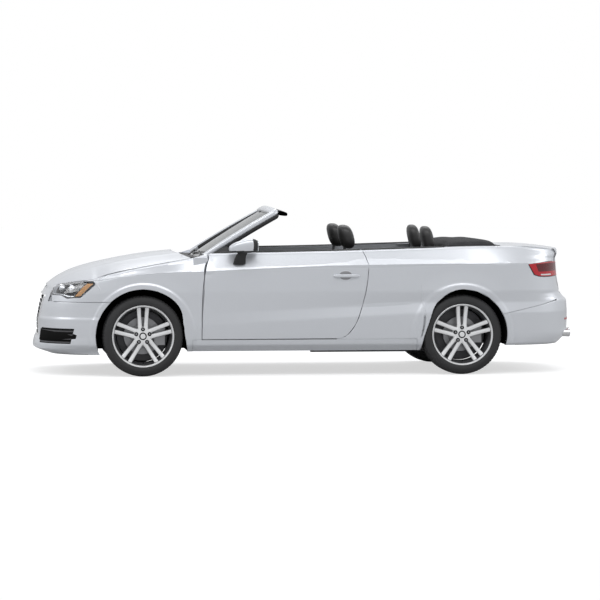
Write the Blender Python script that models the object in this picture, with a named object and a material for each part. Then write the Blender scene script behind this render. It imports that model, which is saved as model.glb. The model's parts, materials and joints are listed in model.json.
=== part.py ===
"""Compact four seat convertible car, top stowed, as separate named solids.

World frame: metres, +Z up, ground at Z = 0. The front of the car faces -Y, its left side
faces +X, and the origin is on the ground in the centre plane, midway along the length.
Tables of places are shares: y shares are of half the length, z shares of the height to the
top of the windscreen frame, width shares of half the width.
"""

import math

import bmesh
import bpy
import numpy as np
from mathutils import Matrix, Vector

# Driving sizes of the whole car
LENGTH = 4.421
WIDTH = 1.793
HEIGHT = 1.350
WHEELBASE = 2.595
FRONT_OVERHANG = 0.861
TRACK = 1.535

HALF_LENGTH = LENGTH / 2
HALF_WIDTH = WIDTH / 2
REAR_OVERHANG = LENGTH - WHEELBASE - FRONT_OVERHANG
FRONT_AXLE_Y = -HALF_LENGTH + FRONT_OVERHANG
REAR_AXLE_Y = FRONT_AXLE_Y + WHEELBASE
HALF_TRACK = TRACK / 2

# Clearances
CABIN_CLEARANCE = 0.010
SEAT_GAP = 0.0003
RUNNING_GAP = 0.0005
SHUT_GAP = 0.0055
OVERRUN = 0.05
MERGE_DISTANCE = 1e-6

# Wheels and brakes
TYRE_RADIUS = 0.325
TYRE_WIDTH = 0.225
RIM_RADIUS = 0.243
RIM_WALL = 0.016
RIM_WIDTH = 0.205
SPOKE_COUNT = 5
SPOKE_HALF_PAIR = 0.033
SPOKE_FLARE = 0.012
SPOKE_WIDTH = 0.034
SPOKE_DEPTH = 0.030
SPOKE_SET_IN = 0.014
SPOKE_ROOT_SHARE = 0.6
HUB_RADIUS = 0.078
HUB_FACE_INSET = 0.070
DISC_RADIUS = 0.150
DISC_THICKNESS = 0.022
BRAKE_CLEARANCE = 0.008
CALIPER_HEIGHT = 0.150
CALIPER_DEPTH = 0.055
CALIPER_CHEEK = 0.022
CALIPER_CROWN = 0.022
ROUND_SIDES = 20
SMALL_SIDES = 10

# Steering and axles
KINGPIN_INSET = 0.080
SPINDLE_RADIUS = 0.045
UPRIGHT_HALF_WIDTH = 0.035
UPRIGHT_THICKNESS = 0.045
UPRIGHT_HEIGHT = 0.190
BALL_SEAT_HEIGHT = 0.022
ARM_THICKNESS = 0.030
ARM_HALF_WIDTH = 0.030
SUBFRAME_HALF_WIDTH = 0.420
SUBFRAME_HEIGHT = 0.060
SUBFRAME_LENGTH = 0.360
STRUT_RADIUS = 0.024
REAR_BEAM_RADIUS = 0.045
REAR_SUBFRAME_HALF = 0.340
REAR_SUBFRAME_LENGTH = 0.280
BRACKET_HALF = 0.025
BRACKET_LAP = 0.012
AXLE_POST_LENGTH = 0.050

# Body openings and walls
FRONT_ARCH_RADIUS = 0.380
REAR_ARCH_RADIUS = 0.370
LINER_GAP = 0.010
LINER_WALL = 0.012
LINER_OUTER_X = 0.785
APRON_X = 0.462
APRON_WALL = 0.016
APRON_TOP = 0.740
APRON_BOTTOM = 0.385
FRONT_APRON_Y = -1.850
REAR_HOUSE_X = 0.600
SKIN_WALL = 0.030
QUARTER_WALL = 0.050
DOOR_WALL = 0.105
SILL_BOTTOM = 0.199
SILL_TOP = 0.292
SILL_INNER_X = 0.740
SILL_FRONT_Y = -0.950
FLOOR_BOTTOM = 0.205
FLOOR_WALL = 0.025
FLOOR_REAR_Y = 1.100
FLOOR_RAMP_WALL = 0.030
FLOOR_RAMP_HALF = 0.540
TUNNEL_HALF_WIDTH = 0.110
TUNNEL_HEIGHT = 0.170
BULKHEAD_Y = -0.944
BULKHEAD_WALL = 0.030
PILLAR_INNER_X = 0.700
PILLAR_TOP = 0.955
COWL_TOP = 0.955
COWL_WALL = 0.040
COWL_FRONT_Y = -1.080
COWL_REAR_Y = -0.830
BUMPER_SPLIT_Z = 0.600
FENDER_FRONT_Y = -2.020
BUMPER_WALL = 0.028
BUMPER_BOTTOM = 0.172
BUMPER_TOP = 0.740
REAR_SPLIT_Z = 0.450
QUARTER_FRONT_Y = 0.220
QUARTER_REAR_Y = 2.095
REAR_LINER_OUTER_X = 0.850
REAR_WALL_Y = 1.950
REAR_HOUSE_TOP = 0.720
DECK_REAR_Y = 1.940
TAIL_LIP_Z = 0.940
SILL_REAR_Y = 0.870
REAR_BUMPER_FRONT_Y = 1.640
REAR_BUMPER_BOTTOM = 0.235
BOOT_FLOOR_Z = 0.440
BOOT_FLOOR_WALL = 0.030
TAIL_PANEL_Y = 2.060
TAIL_PANEL_WALL = 0.020
TAIL_PANEL_TOP = 0.665
TAIL_PANEL_HALF = 0.490
SHELF_LIP_WALL = 0.010
SHELF_LIP_TOP = 1.005
SEAT_BULKHEAD_Y = 1.330
SEAT_BULKHEAD_WALL = 0.025

# Door hinge, in plan
DOOR_HINGE_X = 0.838
DOOR_HINGE_BACK = 0.052
DOOR_TURN = math.radians(65)
DOOR_SWEEP_ROWS = 20
HINGE_BARREL_RADIUS = 0.012
HINGE_BARREL_HEIGHT = 0.040
HINGE_ARM_WIDTH = 0.014
HINGE_HEIGHTS = (0.420, 0.800)
DOOR_FRONT_TOP_Y = -0.815
DOOR_FRONT_LOW_Y = -0.873

# Lids
REAR_DISC_SHARE = 0.94
ENGINE_EDGE = 0.020
SEAT_BACK_TOP = 0.960

HOOD_WALL = 0.014
HOOD_AXIS_Y = -0.935
HOOD_AXIS_Z = 0.935
HOOD_HINGE_X = 0.620
HOOD_LEVER_Y = -1.030
HOOD_LEVER_Z = 0.962
HOOD_FRONT_Y = -2.098
HOOD_EDGE_INSET = SKIN_WALL + SHUT_GAP
HOOD_CROWN_POWER = 2.4
HOOD_ROW_SHARES = (0.00, 0.03, 0.08, 0.16, 0.28, 0.45, 0.70, 1.00)
HOOD_REAR_CENTRE_Y = -1.080
HOOD_REAR_BOW = 0.150
HINGE_ROOT_Z = 0.895
LID_WALL = 0.026
LID_AXIS_Y = 1.612
LID_AXIS_Z = 1.033
LID_FRONT_INSET = 0.004
LID_TOP_Z = 1.046
LID_HINGE_X = 0.500
LID_BARREL_RADIUS = 0.009
LID_HALF_WIDTH = 0.600
LID_LIP_HALF_WIDTH = 0.560
LID_LOW_HALF_WIDTH = 0.520
DECK_WALL = 0.030
LID_BOTTOM_Z = 0.672

# Plan shape and section tables
NOSE_POWER = 3.2
TAIL_POWER = 3.6
SILL_FACE_Z = 0.250
WAIST_BLEND_SHARE = 0.5

# columns: y share, z share
HOOD_CROWN_SHARES = (
    (-0.960, 0.520), (-0.942, 0.542), (-0.912, 0.578), (-0.850, 0.627), (-0.758, 0.669),
    (-0.575, 0.722), (-0.489, 0.736), (-0.421, 0.747))
UPPER_EDGE_SHARES = (
    (-0.955, 0.519), (-0.905, 0.546), (-0.860, 0.560), (-0.796, 0.574), (-0.724, 0.611),
    (-0.633, 0.643), (-0.543, 0.670), (-0.430, 0.704), (-0.362, 0.731), (0.090, 0.745), (0.407, 0.760), (0.633, 0.770),
    (0.769, 0.767), (0.882, 0.752), (0.959, 0.741))
SHOULDER_LINE_SHARES = (
    (-1.000, 0.550), (-0.749, 0.579), (-0.680, 0.601), (-0.576, 0.616), (-0.399, 0.626),
    (-0.185, 0.643), (0.074, 0.659), (0.211, 0.662), (0.458, 0.668), (1.000, 0.669))
LOW_CREASE_SHARES = ((-0.407, 0.302), (0.407, 0.370))
# columns: y share, width share of the widest line of the section
WIDEST_SHARES = ((-0.610, 0.985), (-0.400, 0.990), (0.100, 0.988), (0.563, 1.000))
# columns: y share, width share of the upper edge
UPPER_WIDTH_SHARES = (
    (-0.959, 0.860), (-0.543, 0.900), (-0.400, 0.935), (0.200, 0.955), (0.500, 0.945),
    (0.800, 0.900), (0.960, 0.880))
# columns: line, width share, from the sill's lower edge upwards
SIDE_WIDTH_SHARES = {
    "sill_bottom": 0.905, "sill_face": 0.955, "door_bottom": 0.962, "low_crease": 0.975,
    "flank": 0.972, "shoulder": 0.9985}
# columns: z share, setback behind the foremost point as a share of the front overhang
NOSE_SETBACK_SHARES = (
    (0.080, 0.300), (0.127, 0.140), (0.145, 0.050), (0.162, 0.000), (0.210, 0.015),
    (0.234, 0.033), (0.320, 0.032), (0.385, 0.045), (0.425, 0.057), (0.527, 0.130),
    (0.578, 0.215), (0.630, 0.310), (0.700, 0.430))
# columns: z share, setback before the rearmost point as a share of the rear overhang
TAIL_SETBACK_SHARES = (
    (0.150, 0.160), (0.185, 0.070), (0.252, 0.004), (0.333, 0.000), (0.434, 0.006),
    (0.463, 0.042), (0.493, 0.072), (0.690, 0.105), (0.720, 0.090), (0.741, 0.090),
    (0.770, 0.120))
# columns: y share, z share
DOOR_REAR_SHARES = (
    (0.104, 0.222), (0.134, 0.234), (0.170, 0.310), (0.194, 0.431), (0.208, 0.541),
    (0.215, 0.657), (0.200, 0.720), (0.189, 0.750))
HEADLAMP_SHARES = (
    (-0.958, 0.515), (-0.955, 0.483), (-0.905, 0.482), (-0.885, 0.464), (-0.835, 0.471),
    (-0.775, 0.561), (-0.790, 0.569), (-0.850, 0.566), (-0.912, 0.548))
TAIL_LAMP_SHARES = (
    (0.812, 0.662), (0.835, 0.600), (0.862, 0.585), (0.975, 0.590), (0.975, 0.672),
    (0.900, 0.676))
REAR_SPLIT_SHARES = (
    (0.640, 0.340), (0.733, 0.370), (0.930, 0.440), (0.965, 0.485), (1.050, 0.490))
LAMP_INNER_X = 0.520
LAMP_WALL = 0.110

# columns: share of the reach to the lip, z share, wall shares forward and down, half width, face
LID_SPINE_SHARES = (
    (0.000, 1.000, 0.0, 1.0, LID_HALF_WIDTH, False), (0.400, 1.004, 0.0, 1.0, LID_HALF_WIDTH, False),
    (0.780, 0.970, 0.0, 1.0, LID_HALF_WIDTH, False), (0.960, 0.936, 0.3, 1.1, LID_HALF_WIDTH, False),
    (1.000, 0.900, 1.2, 0.6, LID_HALF_WIDTH, True), (1.000, 0.830, 1.0, 0.1, LID_LIP_HALF_WIDTH, True),
    (1.000, 0.720, 1.0, 0.0, LID_LOW_HALF_WIDTH, True),
    (1.000, 0.340, 1.0, 0.0, LID_LOW_HALF_WIDTH, True),
    (1.000, 0.000, 1.0, 0.0, LID_LOW_HALF_WIDTH, True))
LID_CROWN = 0.012
LID_TUCK = 0.002

# Windscreen
PILLAR_FOOT = (0.698, -0.845, 0.960)
PILLAR_HEAD = (0.585, -0.262, 1.312)
HEADER_CROWN_Y = -0.290
HEADER_CROWN_Z = 1.333
GLASS_FOOT_CROWN_Y = -0.915
GLASS_FOOT_Z = 0.938
PILLAR_HALF_WIDTH = 0.030
PILLAR_HALF_DEPTH = 0.017
GLASS_WALL = 0.006

# Cabin
DASH_FRONT_Y = -0.880
DASH_REAR_Y = -0.540
DASH_BOTTOM_Z = 0.560
DASH_TOP_Z = 0.925
DASH_HALF_WIDTH = PILLAR_INNER_X - CABIN_CLEARANCE
SEAT_X = 0.365
FRONT_SEAT_Y = 0.100
FRONT_SEAT_HEAD_Z = 1.216
REAR_SEAT_Y = 0.930
REAR_SEAT_HEAD_Z = 1.200
SEAT_HALF_WIDTH = 0.255
SEAT_EDGE = 0.035
HEADREST_HALF_WIDTH = 0.130
STEERING_Y = -0.420
STEERING_Z = 0.800
STEERING_RADIUS = 0.185
STEERING_RIM = 0.014
STEERING_RAKE = math.radians(24)

# Other named pieces
ENGINE_HALF_WIDTH = 0.280
ENGINE_FRONT_Y = -1.700
ENGINE_REAR_Y = -1.080
ENGINE_TOP_Z = 0.780
MIRROR_FOOT_Y = (-0.620, -0.530)
MIRROR_HEAD_Y = (-0.665, -0.430)
MIRROR_HEAD_X = (0.885, 1.010)
MIRROR_HEAD_Z = (0.995, 1.105)
MIRROR_EDGE = 0.022
MIRROR_FOOT_Z = 0.890
MIRROR_FOOT_WALL = 0.040
TOP_COVER_FRONT_Y = 1.125
TOP_COVER_REAR_Y = 1.593
TOP_COVER_HALF_WIDTH = 0.690
TOP_COVER_HEIGHT = 1.094
TOP_COVER_BASE_Z = 0.960
EXHAUST_RADIUS = 0.028
EXHAUST_TIP_X = 0.520
EXHAUST_Z = 0.322
EXHAUST_LOW_Z = 0.165
EXHAUST_FRONT_Y = 0.100
EXHAUST_BEND_Y = 1.150
SILENCER_Y = (1.620, 1.860)
GRILLE_HALF_WIDTH = 0.400
GRILLE_LOW_Z = 0.300
GRILLE_HIGH_Z = 0.660
GRILLE_WALL = 0.030
GRILLE_SET_IN = 0.030
GRILLE_BAR_COUNT = 5
GRILLE_FRAME = 0.024

# columns: colour red, green, blue, then metallic, roughness, alpha
FINISHES = {
    "silver_paint": (0.62, 0.63, 0.65, 0.60, 0.30, 1.0),
    "black_plastic": (0.02, 0.02, 0.02, 0.00, 0.55, 1.0),
    "rubber": (0.025, 0.025, 0.026, 0.00, 0.80, 1.0),
    "alloy": (0.70, 0.70, 0.71, 1.00, 0.28, 1.0),
    "steel": (0.30, 0.30, 0.31, 1.00, 0.45, 1.0),
    "leather": (0.035, 0.033, 0.032, 0.00, 0.55, 1.0),
    "fabric": (0.03, 0.03, 0.032, 0.00, 0.90, 1.0),
    "glass": (0.80, 0.85, 0.84, 0.00, 0.05, 0.35),
    "lamp_clear": (0.75, 0.76, 0.78, 0.00, 0.08, 1.0),
    "lamp_red": (0.45, 0.02, 0.03, 0.00, 0.12, 1.0)}


def finish(name):
    """Return the named material, made on first use from the table of finishes."""
    material = bpy.data.materials.get(name)
    if material is None:
        red, green, blue, metallic, roughness, alpha = FINISHES[name]
        material = bpy.data.materials.new(name)
        material.use_nodes = True
        shader = material.node_tree.nodes["Principled BSDF"]
        shader.inputs["Base Color"].default_value = (red, green, blue, 1.0)
        shader.inputs["Metallic"].default_value = metallic
        shader.inputs["Roughness"].default_value = roughness
        shader.inputs["Alpha"].default_value = alpha
    return material


def solid(name, points, faces, material):
    """Make one object from points and faces, with its normals turned outwards."""
    mesh = bpy.data.meshes.new(name)
    mesh.from_pydata([tuple(map(float, point)) for point in points], [], faces)
    work = bmesh.new()
    work.from_mesh(mesh)
    bmesh.ops.remove_doubles(work, verts=work.verts, dist=MERGE_DISTANCE)
    bmesh.ops.dissolve_degenerate(work, edges=work.edges, dist=MERGE_DISTANCE)
    bmesh.ops.recalc_face_normals(work, faces=work.faces)
    if work.calc_volume(signed=True) < 0:
        bmesh.ops.reverse_faces(work, faces=work.faces)
    work.to_mesh(mesh)
    work.free()
    mesh.materials.append(finish(material))
    thing = bpy.data.objects.new(name, mesh)
    bpy.context.scene.collection.objects.link(thing)
    return thing


def between_grids(name, outer, inner, material):
    """Close the space between two grids of points of the same size into one solid."""
    rows, columns = outer.shape[:2]
    points = np.concatenate([outer.reshape(-1, 3), inner.reshape(-1, 3)])
    count = rows * columns
    faces = []
    for row in range(rows - 1):
        for column in range(columns - 1):
            first = row * columns + column
            quad = (first, first + 1, first + columns + 1, first + columns)
            faces.append(quad)
            faces.append(tuple(count + index for index in reversed(quad)))
    top = list(range(columns))
    right = [row * columns + columns - 1 for row in range(1, rows)]
    bottom = [(rows - 1) * columns + column for column in range(columns - 2, -1, -1)]
    left = [row * columns for row in range(rows - 2, 0, -1)]
    rim = top + right + bottom + left
    for here, following in zip(rim, rim[1:] + rim[:1]):
        faces.append((following, here, count + here, count + following))
    return solid(name, points, faces, material)


def prism(name, outline, axis, start, end, material):
    """Extrude a closed outline of two coordinates along world axis 0, 1 or 2."""
    others = [index for index in range(3) if index != axis]
    points = []
    for level in (start, end):
        for pair in outline:
            point = [0.0, 0.0, 0.0]
            point[axis] = level
            point[others[0]], point[others[1]] = pair
            points.append(point)
    count = len(outline)
    faces = [tuple(range(count)), tuple(reversed(range(count, 2 * count)))]
    for here in range(count):
        following = (here + 1) % count
        faces.append((here, count + here, count + following, following))
    return solid(name, points, faces, material)


def block(name, low, high, material, edge=0.0):
    """Make a box between two corners, its edges rounded off by the named edge width."""
    low, high = [min(pair) for pair in zip(low, high)], [max(pair) for pair in zip(low, high)]
    outline = [(low[0], low[1]), (high[0], low[1]), (high[0], high[1]), (low[0], high[1])]
    box = prism(name, outline, 2, low[2], high[2], material)
    if edge:
        work = bmesh.new()
        work.from_mesh(box.data)
        bmesh.ops.bevel(work, geom=work.edges[:], offset=edge, segments=2, profile=0.5,
                        affect="EDGES", clamp_overlap=True)
        bmesh.ops.recalc_face_normals(work, faces=work.faces)
        work.to_mesh(box.data)
        work.free()
    return box


def turned(name, profile, centre, axis, sides, material, capped=False, lead_share=0.0):
    """Turn a profile of (radius, place along the axis) round a world axis.

    A closed profile makes a ring. A capped one makes a solid with flat ends. The first
    side starts after the lead, a share of one side's turn.
    """
    angles = (np.arange(sides) + lead_share) * 2 * math.pi / sides
    others = [index for index in range(3) if index != axis]
    points = []
    for radius, place in profile:
        for angle in angles:
            point = list(centre)
            point[axis] += place
            point[others[0]] += radius * math.cos(angle)
            point[others[1]] += radius * math.sin(angle)
            points.append(point)
    faces = []
    count = len(profile)
    for ring in range(count - 1 if capped else count):
        following = (ring + 1) % count
        for side in range(sides):
            beside = (side + 1) % sides
            faces.append((ring * sides + side, ring * sides + beside,
                          following * sides + beside, following * sides + side))
    if capped:
        faces.append(tuple(range(sides)))
        faces.append(tuple(range((count - 1) * sides, count * sides)))
    return solid(name, points, faces, material)


def round_bar(name, start, end, radius, material, sides=SMALL_SIDES):
    """Make a straight round bar between two points."""
    start, end = Vector(start), Vector(end)
    work = bmesh.new()
    bmesh.ops.create_cone(work, cap_ends=True, segments=sides, radius1=radius, radius2=radius,
                          depth=(end - start).length)
    turn = (end - start).to_track_quat("Z", "Y").to_matrix().to_4x4()
    bmesh.ops.transform(work, matrix=Matrix.Translation((start + end) / 2) @ turn, verts=work.verts)
    mesh = bpy.data.meshes.new(name)
    work.to_mesh(mesh)
    work.free()
    mesh.materials.append(finish(material))
    bar = bpy.data.objects.new(name, mesh)
    bpy.context.scene.collection.objects.link(bar)
    return bar


def combine(target, tools, operation):
    """Apply an exact Boolean of the target with each tool, and remove the tools."""
    for tool in tools:
        modifier = target.modifiers.new("combine", "BOOLEAN")
        modifier.operation = operation
        modifier.solver = "EXACT"
        modifier.object = tool
        bpy.context.view_layer.update()
        evaluated = target.evaluated_get(bpy.context.evaluated_depsgraph_get())
        mesh = bpy.data.meshes.new_from_object(evaluated)
        target.modifiers.remove(modifier)
        target.data = mesh
        bpy.data.objects.remove(tool)
        tidy_mesh(mesh)
    return target


def tidy_mesh(mesh):
    """Merge doubled points, join coplanar faces and triangulate what is left."""
    work = bmesh.new()
    work.from_mesh(mesh)
    bmesh.ops.remove_doubles(work, verts=work.verts, dist=MERGE_DISTANCE)
    bmesh.ops.dissolve_degenerate(work, edges=work.edges, dist=MERGE_DISTANCE)
    bmesh.ops.dissolve_limit(work, angle_limit=math.radians(0.02), verts=work.verts,
                             edges=work.edges)
    bmesh.ops.triangulate(work, faces=work.faces)
    work.to_mesh(mesh)
    work.free()


def cut(target, *tools):
    """Cut the tools out of the target."""
    return combine(target, tools, "DIFFERENCE")


def fuse(target, *tools):
    """Join the tools to the target."""
    return combine(target, tools, "UNION")


def mirrored(source, name):
    """Copy an object to the other side of the centre plane under a new name."""
    mesh = source.data.copy()
    mesh.transform(Matrix.Diagonal((-1.0, 1.0, 1.0, 1.0)))
    mesh.flip_normals()
    copy = bpy.data.objects.new(name, mesh)
    bpy.context.scene.collection.objects.link(copy)
    return copy


def set_origin(thing, place):
    """Move an object's origin to a place without moving its mesh."""
    thing.data.transform(Matrix.Translation(-Vector(place)))
    thing.location = place


def read_shares(table, share):
    """Read a two column table of shares at the given share."""
    places, values = zip(*table)
    return np.interp(share, places, values)


def line_height(table, y):
    """Height of a line that runs along the car."""
    return read_shares(table, np.asarray(y) / HALF_LENGTH) * HEIGHT


def side_x(y, z):
    """Half width of the body skin at a place along the car and a height."""
    y, z = np.broadcast_arrays(np.asarray(y, float), np.asarray(z, float))
    heights = side_lines(y)
    widths = [np.full(y.shape, share) for share in SIDE_WIDTH_SHARES.values()]
    widths.append(read_shares(UPPER_WIDTH_SHARES, y / HALF_LENGTH))
    share = np.array(widths[0])
    for lower, higher, below, above in zip(heights, heights[1:], widths, widths[1:]):
        blend = np.clip((z - lower) / np.maximum(higher - lower, SEAT_GAP), 0.0, 1.0)
        share = np.where(z >= lower, below + (above - below) * blend, share)
    width = share * read_shares(WIDEST_SHARES, y / HALF_LENGTH) * HALF_WIDTH
    return width * end_taper(y, z)


def end_taper(y, z):
    """Share of the width that is left towards the rounded nose and tail."""
    nose_depth = FRONT_OVERHANG * (1 - read_shares(NOSE_SETBACK_SHARES, z / HEIGHT))
    tail_depth = REAR_OVERHANG * (1 - read_shares(TAIL_SETBACK_SHARES, z / HEIGHT))
    ahead = np.clip((FRONT_AXLE_Y - y) / nose_depth, 0.0, 1.0)
    behind = np.clip((y - REAR_AXLE_Y) / tail_depth, 0.0, 1.0)
    front = (1 - ahead ** NOSE_POWER) ** (1 / NOSE_POWER)
    rear = (1 - behind ** TAIL_POWER) ** (1 / TAIL_POWER)
    return front * rear


def end_y(x, z, front):
    """Place along the car of the nose or tail skin at a distance from the centre plane."""
    table = NOSE_SETBACK_SHARES if front else TAIL_SETBACK_SHARES
    overhang = FRONT_OVERHANG if front else REAR_OVERHANG
    power = NOSE_POWER if front else TAIL_POWER
    axle = FRONT_AXLE_Y if front else REAR_AXLE_Y
    depth = overhang * (1 - read_shares(table, z / HEIGHT))
    share = np.clip(np.abs(x) / side_x(axle, z), 0.0, 1.0)
    return axle + (-1 if front else 1) * depth * (1 - share ** power) ** (1 / power)


def deck_inner_x(y):
    """Half width of the opening between the quarter panels behind the seats."""
    places = (TOP_COVER_FRONT_Y, TOP_COVER_REAR_Y)
    return np.interp(y, places, (TOP_COVER_HALF_WIDTH, LID_HALF_WIDTH + SHUT_GAP))


def end_ring(z, turns, front):
    """Points of the rounded nose or tail at one height, turns from the side to the middle."""
    if front:
        depth = FRONT_OVERHANG * (1 - read_shares(NOSE_SETBACK_SHARES, z / HEIGHT))
        axle, power, sign = FRONT_AXLE_Y, NOSE_POWER, -1
    else:
        depth = REAR_OVERHANG * (1 - read_shares(TAIL_SETBACK_SHARES, z / HEIGHT))
        axle, power, sign = REAR_AXLE_Y, TAIL_POWER, 1
    y = axle + sign * depth * np.sin(turns) ** (2 / power)
    x = side_x(np.full_like(y, axle), z) * np.cos(turns) ** (2 / power)
    return np.stack([x, y, np.full_like(y, z)], axis=-1)


def side_lines(y):
    """Heights of the named lines of the body side at each place along the car."""
    upper = line_height(UPPER_EDGE_SHARES, y)
    shoulder = np.minimum(line_height(SHOULDER_LINE_SHARES, y), upper - SEAT_GAP)
    crease = line_height(LOW_CREASE_SHARES, y)
    flank = crease + (shoulder - crease) * WAIST_BLEND_SHARE
    low = [np.full(np.shape(y), height) for height in (SILL_BOTTOM, SILL_FACE_Z, SILL_TOP)]
    return low + [crease, flank, shoulder, upper]


def side_panel(name, y_values, low, high, wall, material, inner_x=None):
    """Thick panel of the body side between two heights, with rows on its named lines."""
    y_values = np.asarray(y_values)
    z = np.clip(np.array(side_lines(y_values)), low(y_values), high(y_values))
    z[-1] = high(y_values)
    y = np.broadcast_to(y_values, z.shape)
    x = side_x(y, z)
    outer = np.stack([x, y, z], axis=-1)
    inward = x - wall if inner_x is None else np.full_like(x, inner_x)
    inner = np.stack([inward, y, z], axis=-1)
    return between_grids(name, outer, inner, material)


def level(height):
    """Return a constant height as a function of y."""
    return lambda y: np.full(np.shape(y), height)


def upper_edge(y):
    """Height of the side's upper edge: hood gap, belt line and deck edge."""
    return line_height(UPPER_EDGE_SHARES, y)


def shares_to_outline(shares):
    """Turn a table of y and z shares into an outline in metres."""
    return [(y * HALF_LENGTH, z * HEIGHT) for y, z in shares]


def grown(outline, distance):
    """Offset a closed outline outwards by a distance, corner by corner."""
    area = sum(a[0] * b[1] - b[0] * a[1] for a, b in zip(outline, outline[1:] + outline[:1]))
    sign = 1 if area > 0 else -1
    result = []
    for index, here in enumerate(outline):
        before = Vector(outline[index - 1])
        after = Vector(outline[(index + 1) % len(outline)])
        here = Vector(here)
        first = (here - before).normalized()
        second = (after - here).normalized()
        normal = Vector((first.y + second.y, -first.x - second.x)) * sign
        normal.normalize()
        flat = Vector((first.y, -first.x)) * sign
        result.append(tuple(here + normal * (distance / max(normal.dot(flat), 0.3))))
    return result


def arch_cutter(y, radius, inner_x):
    """Round cutter for a wheel arch, from a plane inside the body out past its side."""
    start = (inner_x, y, TYRE_RADIUS)
    end = (HALF_WIDTH + OVERRUN, y, TYRE_RADIUS)
    return round_bar("arch_cutter", start, end, radius, "black_plastic", ROUND_SIDES)


def wheel_house(name, y, radius, inner_x, outer_x):
    """Half round liner over a wheel, down to the sill's lower edge."""
    inner, outer = radius + LINER_GAP, radius + LINER_GAP + LINER_WALL
    drop = TYRE_RADIUS - SILL_TOP
    angles = np.linspace(0.0, math.pi, ROUND_SIDES // 2 + 1)
    ring = [(y + outer, TYRE_RADIUS - drop)]
    ring += [(y + outer * math.cos(a), TYRE_RADIUS + outer * math.sin(a)) for a in angles]
    ring += [(y - outer, TYRE_RADIUS - drop), (y - inner, TYRE_RADIUS - drop)]
    ring += [(y - inner * math.cos(a), TYRE_RADIUS + inner * math.sin(a)) for a in angles]
    ring += [(y + inner, TYRE_RADIUS - drop)]
    return prism(name, ring, 0, inner_x, outer_x, "black_plastic")


def door_lead_y(z):
    """Place along the car of the door's leading edge at a height."""
    steep = np.clip((z - SILL_TOP) / (PILLAR_TOP - SILL_TOP), 0.0, 1.0)
    return DOOR_FRONT_LOW_Y + (DOOR_FRONT_TOP_Y - DOOR_FRONT_LOW_Y) * steep ** 4


def hinge_y():
    """Place along the car of the door's hinge axis."""
    return DOOR_FRONT_LOW_Y + DOOR_HINGE_BACK


def door_sweep(name, clearance):
    """Solid swept by the door's leading edge about its hinge, grown by a clearance."""
    shoulder = line_height(SHOULDER_LINE_SHARES, DOOR_FRONT_TOP_Y)
    heights = np.linspace(SILL_BOTTOM - OVERRUN, PILLAR_TOP + 2 * OVERRUN, DOOR_SWEEP_ROWS)
    heights = np.sort(np.append(heights, shoulder))
    beside = side_x(door_lead_y(heights), heights) - DOOR_HINGE_X
    lead = np.hypot(beside, hinge_y() - door_lead_y(heights))
    radii = np.maximum(lead, beside / math.cos(DOOR_TURN / 2)) + clearance
    return turned(name, list(zip(radii, heights)), (DOOR_HINGE_X, hinge_y(), 0.0), 2,
                  SMALL_SIDES * 2, "black_plastic", capped=True)


def door_outline(clearance):
    """Outline of the door's shut line in side view, grown by a clearance."""
    rear = shares_to_outline(DOOR_REAR_SHARES)
    top = rear[-1][1] + OVERRUN
    heights = np.linspace(SILL_TOP, PILLAR_TOP, 9)
    front = [(float(door_lead_y(z)), float(z)) for z in reversed(heights)]
    front = [(front[0][0], top)] + front
    outline = [(front[-1][0], SILL_TOP + SHUT_GAP)] + rear[1:] + [(rear[-1][0], top)] + front[:-1]
    return grown(outline, clearance)


def make_door():
    """Left door with its inner side, hinge notches and curved shut faces."""
    y_values = np.linspace(DOOR_FRONT_LOW_Y, 0.5, 9)
    door = side_panel("door_left", y_values, level(SILL_TOP + SHUT_GAP), upper_edge,
                      DOOR_WALL, "silver_paint")
    shape = prism("door_shape", door_outline(0.0), 0, PILLAR_INNER_X, HALF_WIDTH + OVERRUN,
                  "black_plastic")
    combine(door, [shape], "INTERSECT")
    front = block("door_front", (PILLAR_INNER_X - OVERRUN, DOOR_FRONT_LOW_Y - OVERRUN,
                                 SILL_TOP - OVERRUN),
                  (HALF_WIDTH + OVERRUN, hinge_y(), HEIGHT), "black_plastic")
    cut(front, door_sweep("door_reach", 0.0))
    cut(door, front)
    for z in HINGE_HEIGHTS:
        half = HINGE_BARREL_HEIGHT / 2 + RUNNING_GAP
        reach = HINGE_BARREL_RADIUS + SHUT_GAP / 2
        notch = block("notch", (PILLAR_INNER_X - OVERRUN, DOOR_FRONT_LOW_Y - OVERRUN, z - half),
                      (DOOR_HINGE_X + reach, hinge_y() + reach, z + half), "black_plastic")
        cut(door, notch)
    return door


def make_hinge(z, pillar_y):
    """Body half of a door hinge: a barrel on the axis and an arm to the pillar."""
    centre = (DOOR_HINGE_X, hinge_y(), z)
    half = HINGE_BARREL_HEIGHT / 2
    barrel = round_bar("barrel", (centre[0], centre[1], z - half), (centre[0], centre[1], z + half),
                       HINGE_BARREL_RADIUS, "steel")
    root_x = DOOR_HINGE_X - DOOR_WALL * 0.8
    width = HINGE_ARM_WIDTH / 2
    outline = [(centre[0], centre[1] - width), (centre[0], centre[1] + width),
               (root_x, pillar_y), (root_x, pillar_y - 2 * width)]
    arm = prism("arm", outline, 2, z - half, z + half, "steel")
    return fuse(barrel, arm)


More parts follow.
